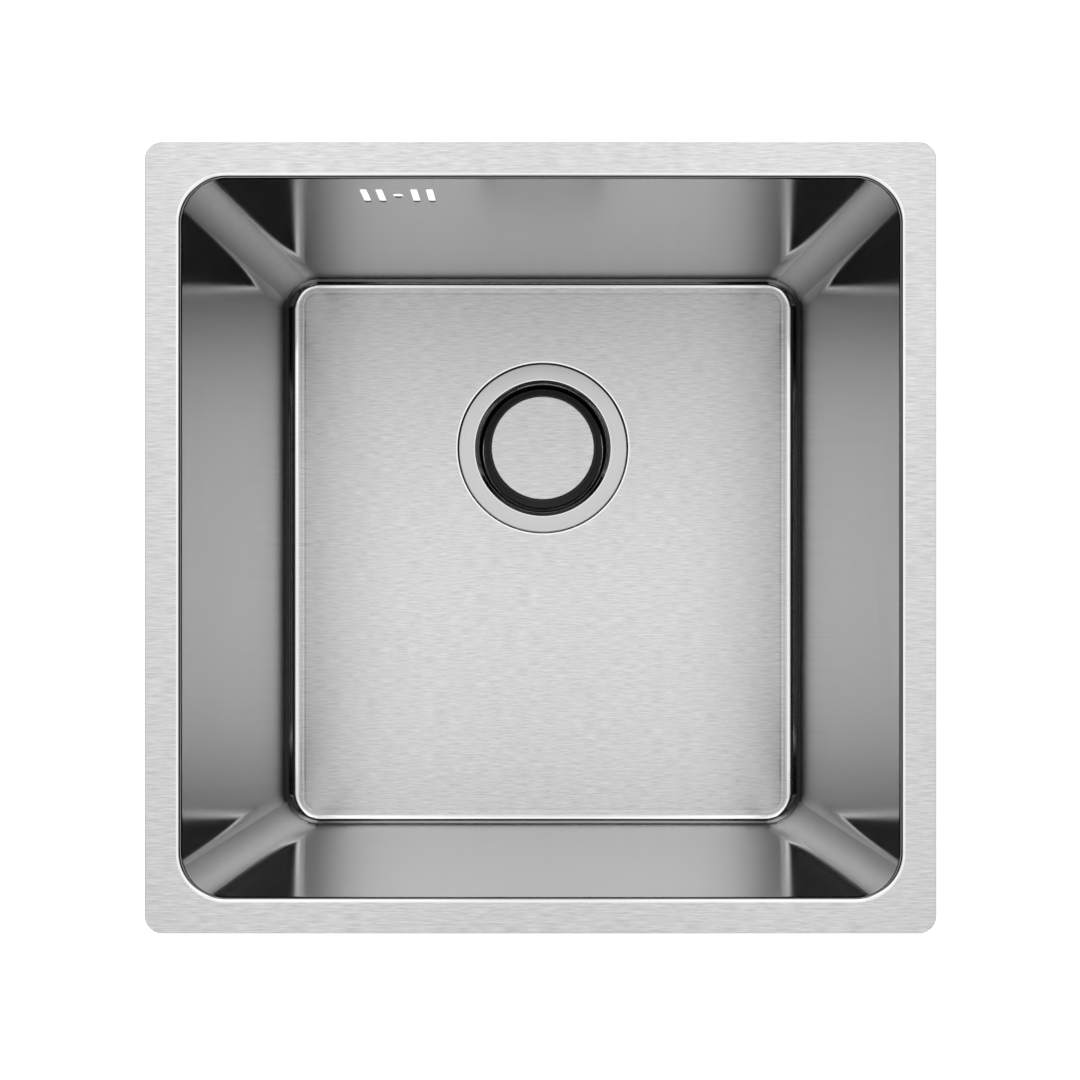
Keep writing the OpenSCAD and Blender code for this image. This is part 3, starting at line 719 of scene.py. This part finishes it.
def thread_rings():
    """Rings down the outlet, whose radius follows the thread's helix and fades at both of its ends"""
    top = OUTLET_TOP - THREAD_FROM_TOP
    low = OUTLET_Z + THREAD_FROM_END
    count = int((top - low) / THREAD_PITCH * THREAD_ROWS_PER_TURN)
    rings = []
    for i in range(count + 1):
        z = top + (low - top) * i / count
        fade = min(1, (top - z) / THREAD_PITCH, (z - low) / THREAD_PITCH)
        points = []
        for j in range(ROUND_STEPS):
            phase = (z / THREAD_PITCH + j / ROUND_STEPS) % 1
            height = min(1, THREAD_CREST * abs(2 * phase - 1))
            a = 2 * math.pi * j / ROUND_STEPS
            r = OUTLET_R - THREAD_DEPTH * (1 - height * max(fade, 0))
            points.append((r * math.cos(a), DRAIN_Y + r * math.sin(a), FLANGE_Z + z))
        rings.append(points)
    return rings


def waste_body():
    """Moulded body under the sink, with its thread, the screw's boss, ribs, gussets and overflow inlet"""
    shell = Shell()
    rings = [drain_ring(*point) for point in body_outside()]
    rings.extend(thread_rings())
    rings.append(drain_ring(OUTLET_R - THREAD_DEPTH - OUTLET_CHAMFER, OUTLET_Z))
    rings.extend(drain_ring(*point) for point in body_inside())
    shell.tube(rings)

    # Boss for the screw, and the ribs that carry it
    boss_low = BOSS_TOP - BOSS_L
    boss = [(SCREW_BORE_R, BOSS_TOP), (BOSS_R, BOSS_TOP), (BOSS_R, boss_low), (SCREW_BORE_R, boss_low)]
    shell.tube([drain_ring(r, z, BOSS_STEPS) for r, z in boss])
    for i in range(RIBS):
        plate(shell, INLET_ANGLE + 2 * math.pi * (i + 0.5) / RIBS, RIB_T, RIB_SHAPE)

    # Gussets under the rim
    wall = BODY_R + BODY_WALL - GUSSET_INTO_WALL
    tip = BODY_RIM_R - GUSSET_FROM_EDGE
    low = BODY_TOP - BODY_RIM_T
    top = low + GUSSET_INTO_RIM
    gusset = [(wall, top), (tip, top), (tip, low - GUSSET_TIP_H), (wall, low - GUSSET_H)]
    for i in range(GUSSETS):
        plate(shell, 2 * math.pi * (i + 0.5) / GUSSETS, GUSSET_T, gusset)

    # Overflow inlet, with a stop ring behind the cap
    ring_low, ring_high = INLET_R - STOP_RING_INTO, INLET_R + STOP_RING_H
    for inner_r, outer_r, start, end in (
        (INLET_BORE_R, INLET_R, INLET_START, INLET_REACH),
        (ring_low, ring_high, *STOP_RING),
    ):
        section = [(inner_r, end), (outer_r, end), (outer_r, start), (inner_r, start)]
        shell.tube([inlet_ring(r, reach) for r, reach in section])
    shell.piece("moulded_waste_body", "basin", [WHITE_PLASTIC], "waste_body")


def inlet_ring(r, reach):
    """Ring round the overflow inlet's axis"""
    points = []
    for i in range(INLET_STEPS):
        a = 2 * math.pi * i / INLET_STEPS
        x, y = turned(INLET_ANGLE, reach, r * math.cos(a))
        points.append((x, DRAIN_Y + y, FLANGE_Z + INLET_Z + r * math.sin(a)))
    return points


def turned(turn, along, across):
    """Place on a level plane whose first axis is turned round the origin"""
    return (
        along * math.cos(turn) - across * math.sin(turn),
        along * math.sin(turn) + across * math.cos(turn),
    )


def plate(shell, turn, thickness, corners):
    """Flat rib that stands along a radius from the drain's axis"""
    rings = []
    for side in (-thickness / 2, thickness / 2):
        places = [(*turned(turn, r, side), z) for r, z in corners]
        rings.append([(x, DRAIN_Y + y, FLANGE_Z + z) for x, y, z in places])
    shell.solid(*rings)


def pad(name, node, place, w, h):
    """Sound pad with rounded edges and raised squares. place turns its own measures into a point."""
    shell = Shell()
    base = PAD_T - PAD_RELIEF
    middle_in = PAD_ROUND * PAD_EDGE
    levels = [(0, 0), (0, base - PAD_EDGE), (middle_in, base - middle_in), (PAD_EDGE, base)]
    rings = []
    for inset, t in levels:
        outline = round_cornered(w, h, PAD_CORNER_R, inset, PAD_CORNER_STEPS)
        rings.append([place(u, v, t) for u, v in outline])
    rows = shell.tube(rings, close=False)
    shell.face(rows[0])
    shell.face(rows[-1])
    columns = int((w - 2 * PAD_MARGIN) // PAD_CELL)
    lines = int((h - 2 * PAD_MARGIN) // PAD_CELL)
    half = (PAD_CELL - PAD_CELL_GAP) / 2
    top_half = half - PAD_RELIEF
    for i in range(columns):
        for j in range(lines):
            u = (i - (columns - 1) / 2) * PAD_CELL
            v = (j - (lines - 1) / 2) * PAD_CELL
            if w / 2 - abs(u) < PAD_CELL and h / 2 - abs(v) < PAD_CELL:
                continue
            square = [(-1, -1), (1, -1), (1, 1), (-1, 1)]
            low = [place(u + x * half, v + y * half, base - PAD_SINK) for x, y in square]
            top = [place(u + x * top_half, v + y * top_half, PAD_T) for x, y in square]
            shell.solid(low, top)
    shell.piece(name, "basin", [PAD_RUBBER], node)


def on_wall(turn, half_span, lean, shift):
    """Place on the outside of a wall, with the wall's direction, half span, lean and sideways shift"""

    def place(u, v, t):
        out = SHEET_T + PAD_GLUE + t
        fall = PAD_DROP + PAD_H / 2 - v
        reach = half_span + out * math.cos(lean) - fall * math.sin(lean)
        z = -out * math.sin(lean) - fall * math.cos(lean)
        return (*turned(turn, shift + u, reach), z)

    return place


def pads():
    """Sound pads on the four walls and under the floor"""
    lean = math.atan(SIDE_LEAN / BOWL_D)
    quarter = math.pi / 2
    pad("left_sound_pad", "left_pad", on_wall(quarter, BOWL_W / 2, lean, 0), PAD_W, PAD_H)
    pad("right_sound_pad", "right_pad", on_wall(-quarter, BOWL_W / 2, lean, 0), PAD_W, PAD_H)
    pad("front_sound_pad", "front_pad", on_wall(math.pi, BOWL_L / 2, 0, 0), PAD_W, PAD_H)
    pad("back_sound_pad", "back_pad", on_wall(0, BOWL_L / 2, 0, BACK_PAD_X), BACK_PAD_W, PAD_H)
    low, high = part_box("floor_pad")
    w, h = (high.x - low.x) / MM, (high.y - low.y) / MM
    y = middle("floor_pad").y / MM
    pad("floor_sound_pad", "floor_pad", lambda u, v, t: (u, y - v, high.z / MM - t), w, h)


def linear(colour):
    """sRGB hex value as linear colour"""
    parts = [int(colour[i : i + 2], 16) / 255 for i in (1, 3, 5)]
    return [p / 12.92 if p <= 0.04045 else ((p + 0.055) / 1.055) ** 2.4 for p in parts] + [1.0]


def add_node(tree, kind, settings=None, inputs=None):
    """One node with its settings, and its inputs as values or as links from other nodes"""
    node = tree.nodes.new(kind)
    for key, value in (settings or {}).items():
        setattr(node, key, value)
    for key, value in (inputs or {}).items():
        if isinstance(value, bpy.types.Node):
            value = value.outputs[0]
        if isinstance(value, bpy.types.NodeSocket):
            tree.links.new(value, node.inputs[key])
        else:
            node.inputs[key].default_value = value
    return node


def new_material(name):
    made = bpy.data.materials.new(name)
    made.use_nodes = True
    made.node_tree.nodes.clear()
    return made, made.node_tree


def grain_pattern(tree, place, size, detail=2.0):
    """Noise whose grains have the given sizes in millimetres along X, Y and Z"""
    counts = [1 / (length * MM) for length in size]
    scaled = add_node(tree, "ShaderNodeVectorMath", {"operation": "MULTIPLY"}, {0: place, 1: counts})
    inputs = {"Vector": scaled, "Scale": 1.0, "Detail": detail, "Roughness": NOISE_ROUGHNESS}
    return add_node(tree, "ShaderNodeTexNoise", {"noise_dimensions": "3D"}, inputs)


def drain_radius(tree, place):
    """Distance from the drain's axis"""
    axis = (0, DRAIN_Y * MM, 0)
    away = add_node(tree, "ShaderNodeVectorMath", {"operation": "SUBTRACT"}, {0: place, 1: axis})
    level = add_node(tree, "ShaderNodeVectorMath", {"operation": "MULTIPLY"}, {0: away, 1: (1, 1, 0)})
    return add_node(tree, "ShaderNodeVectorMath", {"operation": "LENGTH"}, {0: level}).outputs["Value"]


# Strength of a noise's finer layers, and its middle range, which the finishes spread over their own values
NOISE_ROUGHNESS = 0.6
NOISE_LOW = 0.3
NOISE_HIGH = 0.7

# Share of the coarse streaks in brushed steel, and how far its roughness varies
COARSE_SHARE = 0.25
BRUSHED_UNEVEN = 0.06

# Turned metal's grooves and patches, and the patches of moulded pieces, in millimetres
GROOVE_DEPTH = 0.004
TURNED_PATCH = 14
MOULDED_PATCH = 18
MOULDED_UNEVEN = 0.06

# Painted highlight on the cover disc's edge: its colour grows this much brighter there
PAINTED_EDGE_HIGHLIGHT = 1.4


def brushed_steel(name, colour, roughness, anisotropy, across, sizes, contrast, depth, painted_highlight_r=None):
    """Brushed stainless sheet: fine streaks, with sharp reflections along them and wide ones across"""
    made, tree = new_material(name)
    place = add_node(tree, "ShaderNodeTexCoord").outputs["Object"]
    fine = grain_pattern(tree, place, sizes[0])
    coarse = grain_pattern(tree, place, sizes[1])
    mixed = {0: COARSE_SHARE, 2: fine, 3: coarse}
    streak = add_node(tree, "ShaderNodeMix", {"data_type": "FLOAT"}, mixed)
    levels = {0: streak, 1: NOISE_LOW, 2: NOISE_HIGH, 3: 1 - contrast, 4: 1 + contrast}
    tone = add_node(tree, "ShaderNodeMapRange", {}, levels)
    # Painted highlight: the colour grows brighter over a narrow ring just inside the given radius round the
    # drain's axis
    if painted_highlight_r:
        radius = drain_radius(tree, place)
        highlight_start = (painted_highlight_r - COVER_HIGHLIGHT_W) * MM
        levels = {0: radius, 1: highlight_start, 2: painted_highlight_r * MM, 3: 1, 4: PAINTED_EDGE_HIGHLIGHT}
        edge = add_node(tree, "ShaderNodeMapRange", {}, levels)
        tone = add_node(tree, "ShaderNodeMath", {"operation": "MULTIPLY"}, {0: tone, 1: edge})
    toned = {0: linear(colour)[:3], "Scale": tone}
    shade = add_node(tree, "ShaderNodeVectorMath", {"operation": "SCALE"}, toned)
    low, high = roughness * (1 - BRUSHED_UNEVEN), roughness * (1 + BRUSHED_UNEVEN)
    levels = {0: coarse, 1: NOISE_LOW, 2: NOISE_HIGH, 3: low, 4: high}
    uneven = add_node(tree, "ShaderNodeMapRange", {}, levels)
    scratches = {"Strength": 1.0, "Distance": depth * MM, "Height": streak}
    scratched = add_node(tree, "ShaderNodeBump", {}, scratches)
    direction = add_node(tree, "ShaderNodeCombineXYZ", {}, dict(zip("XYZ", across)))
    surface = {
        "Base Color": shade,
        "Metallic": 1.0,
        "Roughness": uneven,
        "Anisotropic": anisotropy,
        "Normal": scratched,
        "Tangent": direction,
    }
    shader = add_node(tree, "ShaderNodeBsdfPrincipled", {}, surface)
    add_node(tree, "ShaderNodeOutputMaterial", {}, {"Surface": shader})
    return made


def turned_metal(name, colour, roughness, pitch, contrast, uneven_by=0.1):
    """Turned or spun metal: fine rings round the drain's axis, with a slightly uneven shine"""
    made, tree = new_material(name)
    place = add_node(tree, "ShaderNodeTexCoord").outputs["Object"]
    parts = add_node(tree, "ShaderNodeSeparateXYZ", {}, {0: place})
    radius = drain_radius(tree, place)
    along = add_node(tree, "ShaderNodeCombineXYZ", {}, {"X": radius, "Z": parts.outputs["Z"]})
    rings = grain_pattern(tree, along, [pitch] * 3, detail=3.0)
    patches = grain_pattern(tree, place, [TURNED_PATCH] * 3)
    levels = {0: rings, 1: NOISE_LOW, 2: NOISE_HIGH, 3: 1 - contrast, 4: 1 + contrast}
    tone = add_node(tree, "ShaderNodeMapRange", {}, levels)
    toned = {0: linear(colour)[:3], "Scale": tone}
    shade = add_node(tree, "ShaderNodeVectorMath", {"operation": "SCALE"}, toned)
    low, high = roughness * (1 - uneven_by), roughness * (1 + uneven_by)
    levels = {0: patches, 1: NOISE_LOW, 2: NOISE_HIGH, 3: low, 4: high}
    uneven = add_node(tree, "ShaderNodeMapRange", {}, levels)
    grooves = {"Strength": 1.0, "Distance": GROOVE_DEPTH * MM, "Height": rings}
    grooved = add_node(tree, "ShaderNodeBump", {}, grooves)
    surface = {"Base Color": shade, "Metallic": 1.0, "Roughness": uneven, "Normal": grooved}
    shader = add_node(tree, "ShaderNodeBsdfPrincipled", {}, surface)
    add_node(tree, "ShaderNodeOutputMaterial", {}, {"Surface": shader})
    return made


def moulded(name, colour, roughness, grain, depth, contrast):
    """Moulded plastic or rubber: an even fine texture, and soft patches where it is a little duller"""
    made, tree = new_material(name)
    place = add_node(tree, "ShaderNodeTexCoord").outputs["Object"]
    fine = grain_pattern(tree, place, [grain] * 3)
    patches = grain_pattern(tree, place, [MOULDED_PATCH] * 3)
    levels = {0: patches, 1: NOISE_LOW, 2: NOISE_HIGH, 3: 1 - contrast, 4: 1 + contrast}
    tone = add_node(tree, "ShaderNodeMapRange", {}, levels)
    toned = {0: linear(colour)[:3], "Scale": tone}
    shade = add_node(tree, "ShaderNodeVectorMath", {"operation": "SCALE"}, toned)
    low, high = roughness - MOULDED_UNEVEN, roughness + MOULDED_UNEVEN
    levels = {0: patches, 1: NOISE_LOW, 2: NOISE_HIGH, 3: low, 4: high}
    uneven = add_node(tree, "ShaderNodeMapRange", {}, levels)
    texture = {"Strength": 1.0, "Distance": depth * MM, "Height": fine}
    textured = add_node(tree, "ShaderNodeBump", {}, texture)
    surface = {"Base Color": shade, "Metallic": 0.0, "Roughness": uneven, "Normal": textured}
    shader = add_node(tree, "ShaderNodeBsdfPrincipled", {}, surface)
    add_node(tree, "ShaderNodeOutputMaterial", {}, {"Surface": shader})
    return made


# Camera's place in metres, its lens and sensor in millimetres and its shift in picture widths
CAMERA_PLACE = (0.0049, -0.031, 0.604)
CAMERA_LENS = 36.25
CAMERA_SENSOR = 36.0
CAMERA_SHIFT = (-0.00875, 0.0495)
CAMERA_NEAR = 0.01


def add_camera():
    """Camera straight above the bowl, as far off as the photograph's perspective shows"""
    data = bpy.data.cameras.new("photo_camera")
    data.lens = CAMERA_LENS
    data.sensor_width = CAMERA_SENSOR
    data.shift_x, data.shift_y = CAMERA_SHIFT
    data.clip_start = CAMERA_NEAR
    made = bpy.data.objects.new("photo_camera", data)
    made.location = CAMERA_PLACE
    bpy.context.scene.collection.objects.link(made)
    bpy.context.scene.camera = made


# Edges of the light box overhead, as slopes from straight up
BOX_SIDES = (0.55, 0.85)
BOX_FRONT = (-1.0, -0.7)
BOX_BACK = (1.3, 2.0)

# Where its brightness changes: towards its sides, away from its middle line and towards its back
SIDE_FADE = (0.2, 0.45)
MIDDLE_FADE = (0.0, 0.2)
BACK_FADE = (0.0, 0.3)
FAR_BACK_FADE = (0.5, 0.8)

# Dim gap along its middle: across its width, and from the middle outwards
GAP_ACROSS = (0.05, 0.22)
GAP_ALONG = (0.2, 0.3)

# Brightness of the box and its parts, of the room and of the room's horizon, with the horizon's height
BOX_LEVEL = 1.25
MIDDLE_LEVEL = 0.97
SIDE_LEVEL = 0.93
BACK_LEVEL = 1.15
FAR_BACK_LEVEL = 1.25
GAP_LEVEL = 0.72
ROOM_LEVEL = 0.012
HORIZON_LEVEL = 0.45
HORIZON = (0.15, 0.35)
LEAST_HEIGHT = 0.001


def add_world():
    """Light box that is a little brighter at the back, with a dim gap along its middle, in a dark room"""
    world = bpy.data.worlds.new("studio")
    bpy.context.scene.world = world
    world.use_nodes = True
    tree = world.node_tree
    tree.nodes.clear()
    place = add_node(tree, "ShaderNodeTexCoord").outputs["Generated"]
    x, y, z = add_node(tree, "ShaderNodeSeparateXYZ", {}, {0: place}).outputs
    height = add_node(tree, "ShaderNodeMath", {"operation": "MAXIMUM"}, {0: z, 1: LEAST_HEIGHT})
    slope_x = add_node(tree, "ShaderNodeMath", {"operation": "DIVIDE"}, {0: x, 1: height})
    slope_y = add_node(tree, "ShaderNodeMath", {"operation": "DIVIDE"}, {0: y, 1: height})
    out_x = add_node(tree, "ShaderNodeMath", {"operation": "ABSOLUTE"}, {0: slope_x})
    out_y = add_node(tree, "ShaderNodeMath", {"operation": "ABSOLUTE"}, {0: slope_y})
    ramps = [
        (out_x, *BOX_SIDES, BOX_LEVEL, 0),
        (slope_y, *BOX_FRONT, 0, 1),
        (slope_y, *BOX_BACK, 1, 0),
        (out_x, *SIDE_FADE, 1, SIDE_LEVEL),
        (out_y, *MIDDLE_FADE, MIDDLE_LEVEL, 1),
        (slope_y, *BACK_FADE, 1, BACK_LEVEL),
        (slope_y, *FAR_BACK_FADE, 1, FAR_BACK_LEVEL),
        (out_x, *GAP_ACROSS, 1, 0),
        (out_y, *GAP_ALONG, 0, GAP_LEVEL - 1),
        (z, *HORIZON, HORIZON_LEVEL, ROOM_LEVEL),
    ]
    levels = []
    for value, start, end, low, high in ramps:
        ramp = {0: value, 1: start, 2: end, 3: low, 4: high}
        levels.append(add_node(tree, "ShaderNodeMapRange", {"interpolation_type": "SMOOTHSTEP"}, ramp))
    *box_levels, across_gap, along_gap, room = levels
    gap = {0: across_gap, 1: along_gap, 2: 1.0}
    box = add_node(tree, "ShaderNodeMath", {"operation": "MULTIPLY_ADD"}, gap)
    for level in box_levels:
        box = add_node(tree, "ShaderNodeMath", {"operation": "MULTIPLY"}, {0: box, 1: level})
    total = add_node(tree, "ShaderNodeMath", {"operation": "ADD"}, {0: box, 1: room})
    ray = add_node(tree, "ShaderNodeLightPath").outputs["Is Camera Ray"]
    seen = add_node(tree, "ShaderNodeMix", {"data_type": "FLOAT"}, {0: ray, 2: total, 3: 1.0})
    light = add_node(tree, "ShaderNodeBackground", {}, {"Color": (1, 1, 1, 1), "Strength": seen})
    add_node(tree, "ShaderNodeOutputWorld", {}, {"Surface": light})


# Light table: half its size and its distance below the sink in metres, and its glow by itself, where the
# camera sees it and where metal mirrors it
TABLE_HALF = 4.0
TABLE_BELOW = 0.0005
TABLE_GLOW = 0.12
TABLE_SEEN_GLOW = 0.85
TABLE_MIRRORED_GLOW = 0.1


def add_floor():
    """White light table under the sink, which keeps the sink's shadow"""
    z = cad_low.z - TABLE_BELOW
    corners = [(TABLE_HALF * sx, TABLE_HALF * sy, z) for sx, sy in ((-1, -1), (1, -1), (1, 1), (-1, 1))]
    mesh = bpy.data.meshes.new("light_table")
    mesh.from_pydata(corners, [], [(0, 1, 2, 3)])
    made = bpy.data.objects.new("light_table", mesh)
    bpy.context.scene.collection.objects.link(made)
    material, tree = new_material("opal_glass")
    surface = add_node(tree, "ShaderNodeBsdfDiffuse", {}, {"Color": linear("#e6e6e6")})
    paths = add_node(tree, "ShaderNodeLightPath").outputs
    strength = TABLE_GLOW
    for ray, share in (("Is Camera Ray", TABLE_SEEN_GLOW), ("Is Glossy Ray", TABLE_MIRRORED_GLOW)):
        glow = {0: paths[ray], 1: share, 2: strength}
        strength = add_node(tree, "ShaderNodeMath", {"operation": "MULTIPLY_ADD"}, glow)
    glow = add_node(tree, "ShaderNodeEmission", {}, {"Color": (1, 1, 1, 1), "Strength": strength})
    both = add_node(tree, "ShaderNodeAddShader", {}, {0: surface, 1: glow})
    add_node(tree, "ShaderNodeOutputMaterial", {}, {"Surface": both})
    mesh.materials.append(material)


# Brushed stainless floor and rim. The real scratches are about 0.1 mm apart, and are drawn coarser to show.
FLOOR_GRAIN = ((10, 0.8, 10), (32, 1.8, 32))
FLOOR_STEEL = brushed_steel(
    "brushed_stainless_sheet",
    "#d2d2d2",
    roughness=0.4,
    anisotropy=0.72,
    across=(0, 1, 0),
    sizes=FLOOR_GRAIN,
    contrast=0.2,
    depth=0.006,
)

# The walls are brushed more finely, level all round, so that they mirror the floor and each other
WALL_GRAIN = ((25, 25, 0.6), (60, 60, 2))
WALL_STEEL = brushed_steel(
    "fine_brushed_stainless_walls",
    "#e8e8e8",
    roughness=0.2,
    anisotropy=0.9,
    across=(0, 0, 1),
    sizes=WALL_GRAIN,
    contrast=0.03,
    depth=0.002,
)

# The welded corners are ground by hand in short level strokes, so they are duller than the walls
CORNER_GRAIN = ((4, 4, 0.8), (9, 9, 30))
CORNER_STEEL = brushed_steel(
    "hand_ground_stainless_corners",
    "#e2e2e2",
    roughness=0.36,
    anisotropy=0.75,
    across=(0, 0, 1),
    sizes=CORNER_GRAIN,
    contrast=0.08,
    depth=0.004,
)

# The cover disc is cut from brushed sheet, with a painted highlight round its edge, and turns with the plug
COVER_STEEL = brushed_steel(
    "brushed_stainless_disc_painted_edge_highlight",
    "#cecece",
    roughness=0.4,
    anisotropy=0.72,
    across=(0, 1, 0),
    sizes=FLOOR_GRAIN,
    contrast=0.2,
    depth=0.006,
    painted_highlight_r=COVER_R,
)

# Dish and basket are deep-drawn from sheet with a smooth satin face
SATIN_STEEL = turned_metal(
    "satin_drawn_stainless", "#bebebe", roughness=0.32, pitch=0.8, contrast=0.012, uneven_by=0.03
)

# Lips, bends and the inside of the dish are polished, so they show as sharp bright and dark lines
EDGE_STEEL = turned_metal(
    "polished_stainless_edge", "#dcdcdc", roughness=0.12, pitch=0.8, contrast=0.01, uneven_by=0.03
)

# Screw and stem are turned from bar, with tool marks round them
TURNED_STEEL = turned_metal(
    "turned_stainless_bar", "#cccccc", roughness=0.26, pitch=0.5, contrast=0.04
)

# Hard-drawn wire has a dull grey shine
SPRING_WIRE = turned_metal(
    "drawn_spring_wire", "#b4b4b2", roughness=0.32, pitch=0.9, contrast=0.05
)

# Turned brass insert, dulled a little by air
BRASS = turned_metal(
    "turned_brass", "#c8a559", roughness=0.3, pitch=0.5, contrast=0.05
)

# Black polypropylene from a lightly etched mould
BLACK_PLASTIC = moulded(
    "moulded_black_polypropylene", "#1e1e1e", roughness=0.48, grain=0.5, depth=0.01, contrast=0.05
)

# White polypropylene is slightly waxy, with soft dull patches from the mould
WHITE_PLASTIC = moulded(
    "moulded_white_polypropylene", "#e2e2dd", roughness=0.38, grain=0.7, depth=0.01, contrast=0.015
)

# Black nitrile rubber is dull and even
BLACK_RUBBER = moulded(
    "moulded_black_rubber", "#1d1d1d", roughness=0.58, grain=0.4, depth=0.012, contrast=0.06
)

# Sound pads are filled rubber sheet, dark grey, matt and slightly grainy
PAD_RUBBER = moulded(
    "filled_pad_rubber", "#3c3c3e", roughness=0.75, grain=1.0, depth=0.05, contrast=0.08
)

FINISHES = {
    "brushed_stainless": COVER_STEEL,
    "satin_stainless": SATIN_STEEL,
    "turned_stainless": TURNED_STEEL,
    "spring_steel": SPRING_WIRE,
    "brass": BRASS,
    "black_plastic": BLACK_PLASTIC,
    "white_plastic": WHITE_PLASTIC,
    "black_rubber": BLACK_RUBBER,
    "pad_rubber": PAD_RUBBER,
}

add_camera()
add_world()
add_floor()
bowl()
dish()
waste_body()
pads()

for part in frame["record"]["subparts"]:
    node = frame["nodes"][part["node"]]
    if not node.hide_render:
        node.data.materials.clear()
        node.data.materials.append(FINISHES[part["material_slot"]])

# Light that is mirrored more than twice is left out, so the deep corners stay dark
bpy.context.scene.cycles.glossy_bounces = 1
bpy.context.scene.view_settings.view_transform = "Standard"
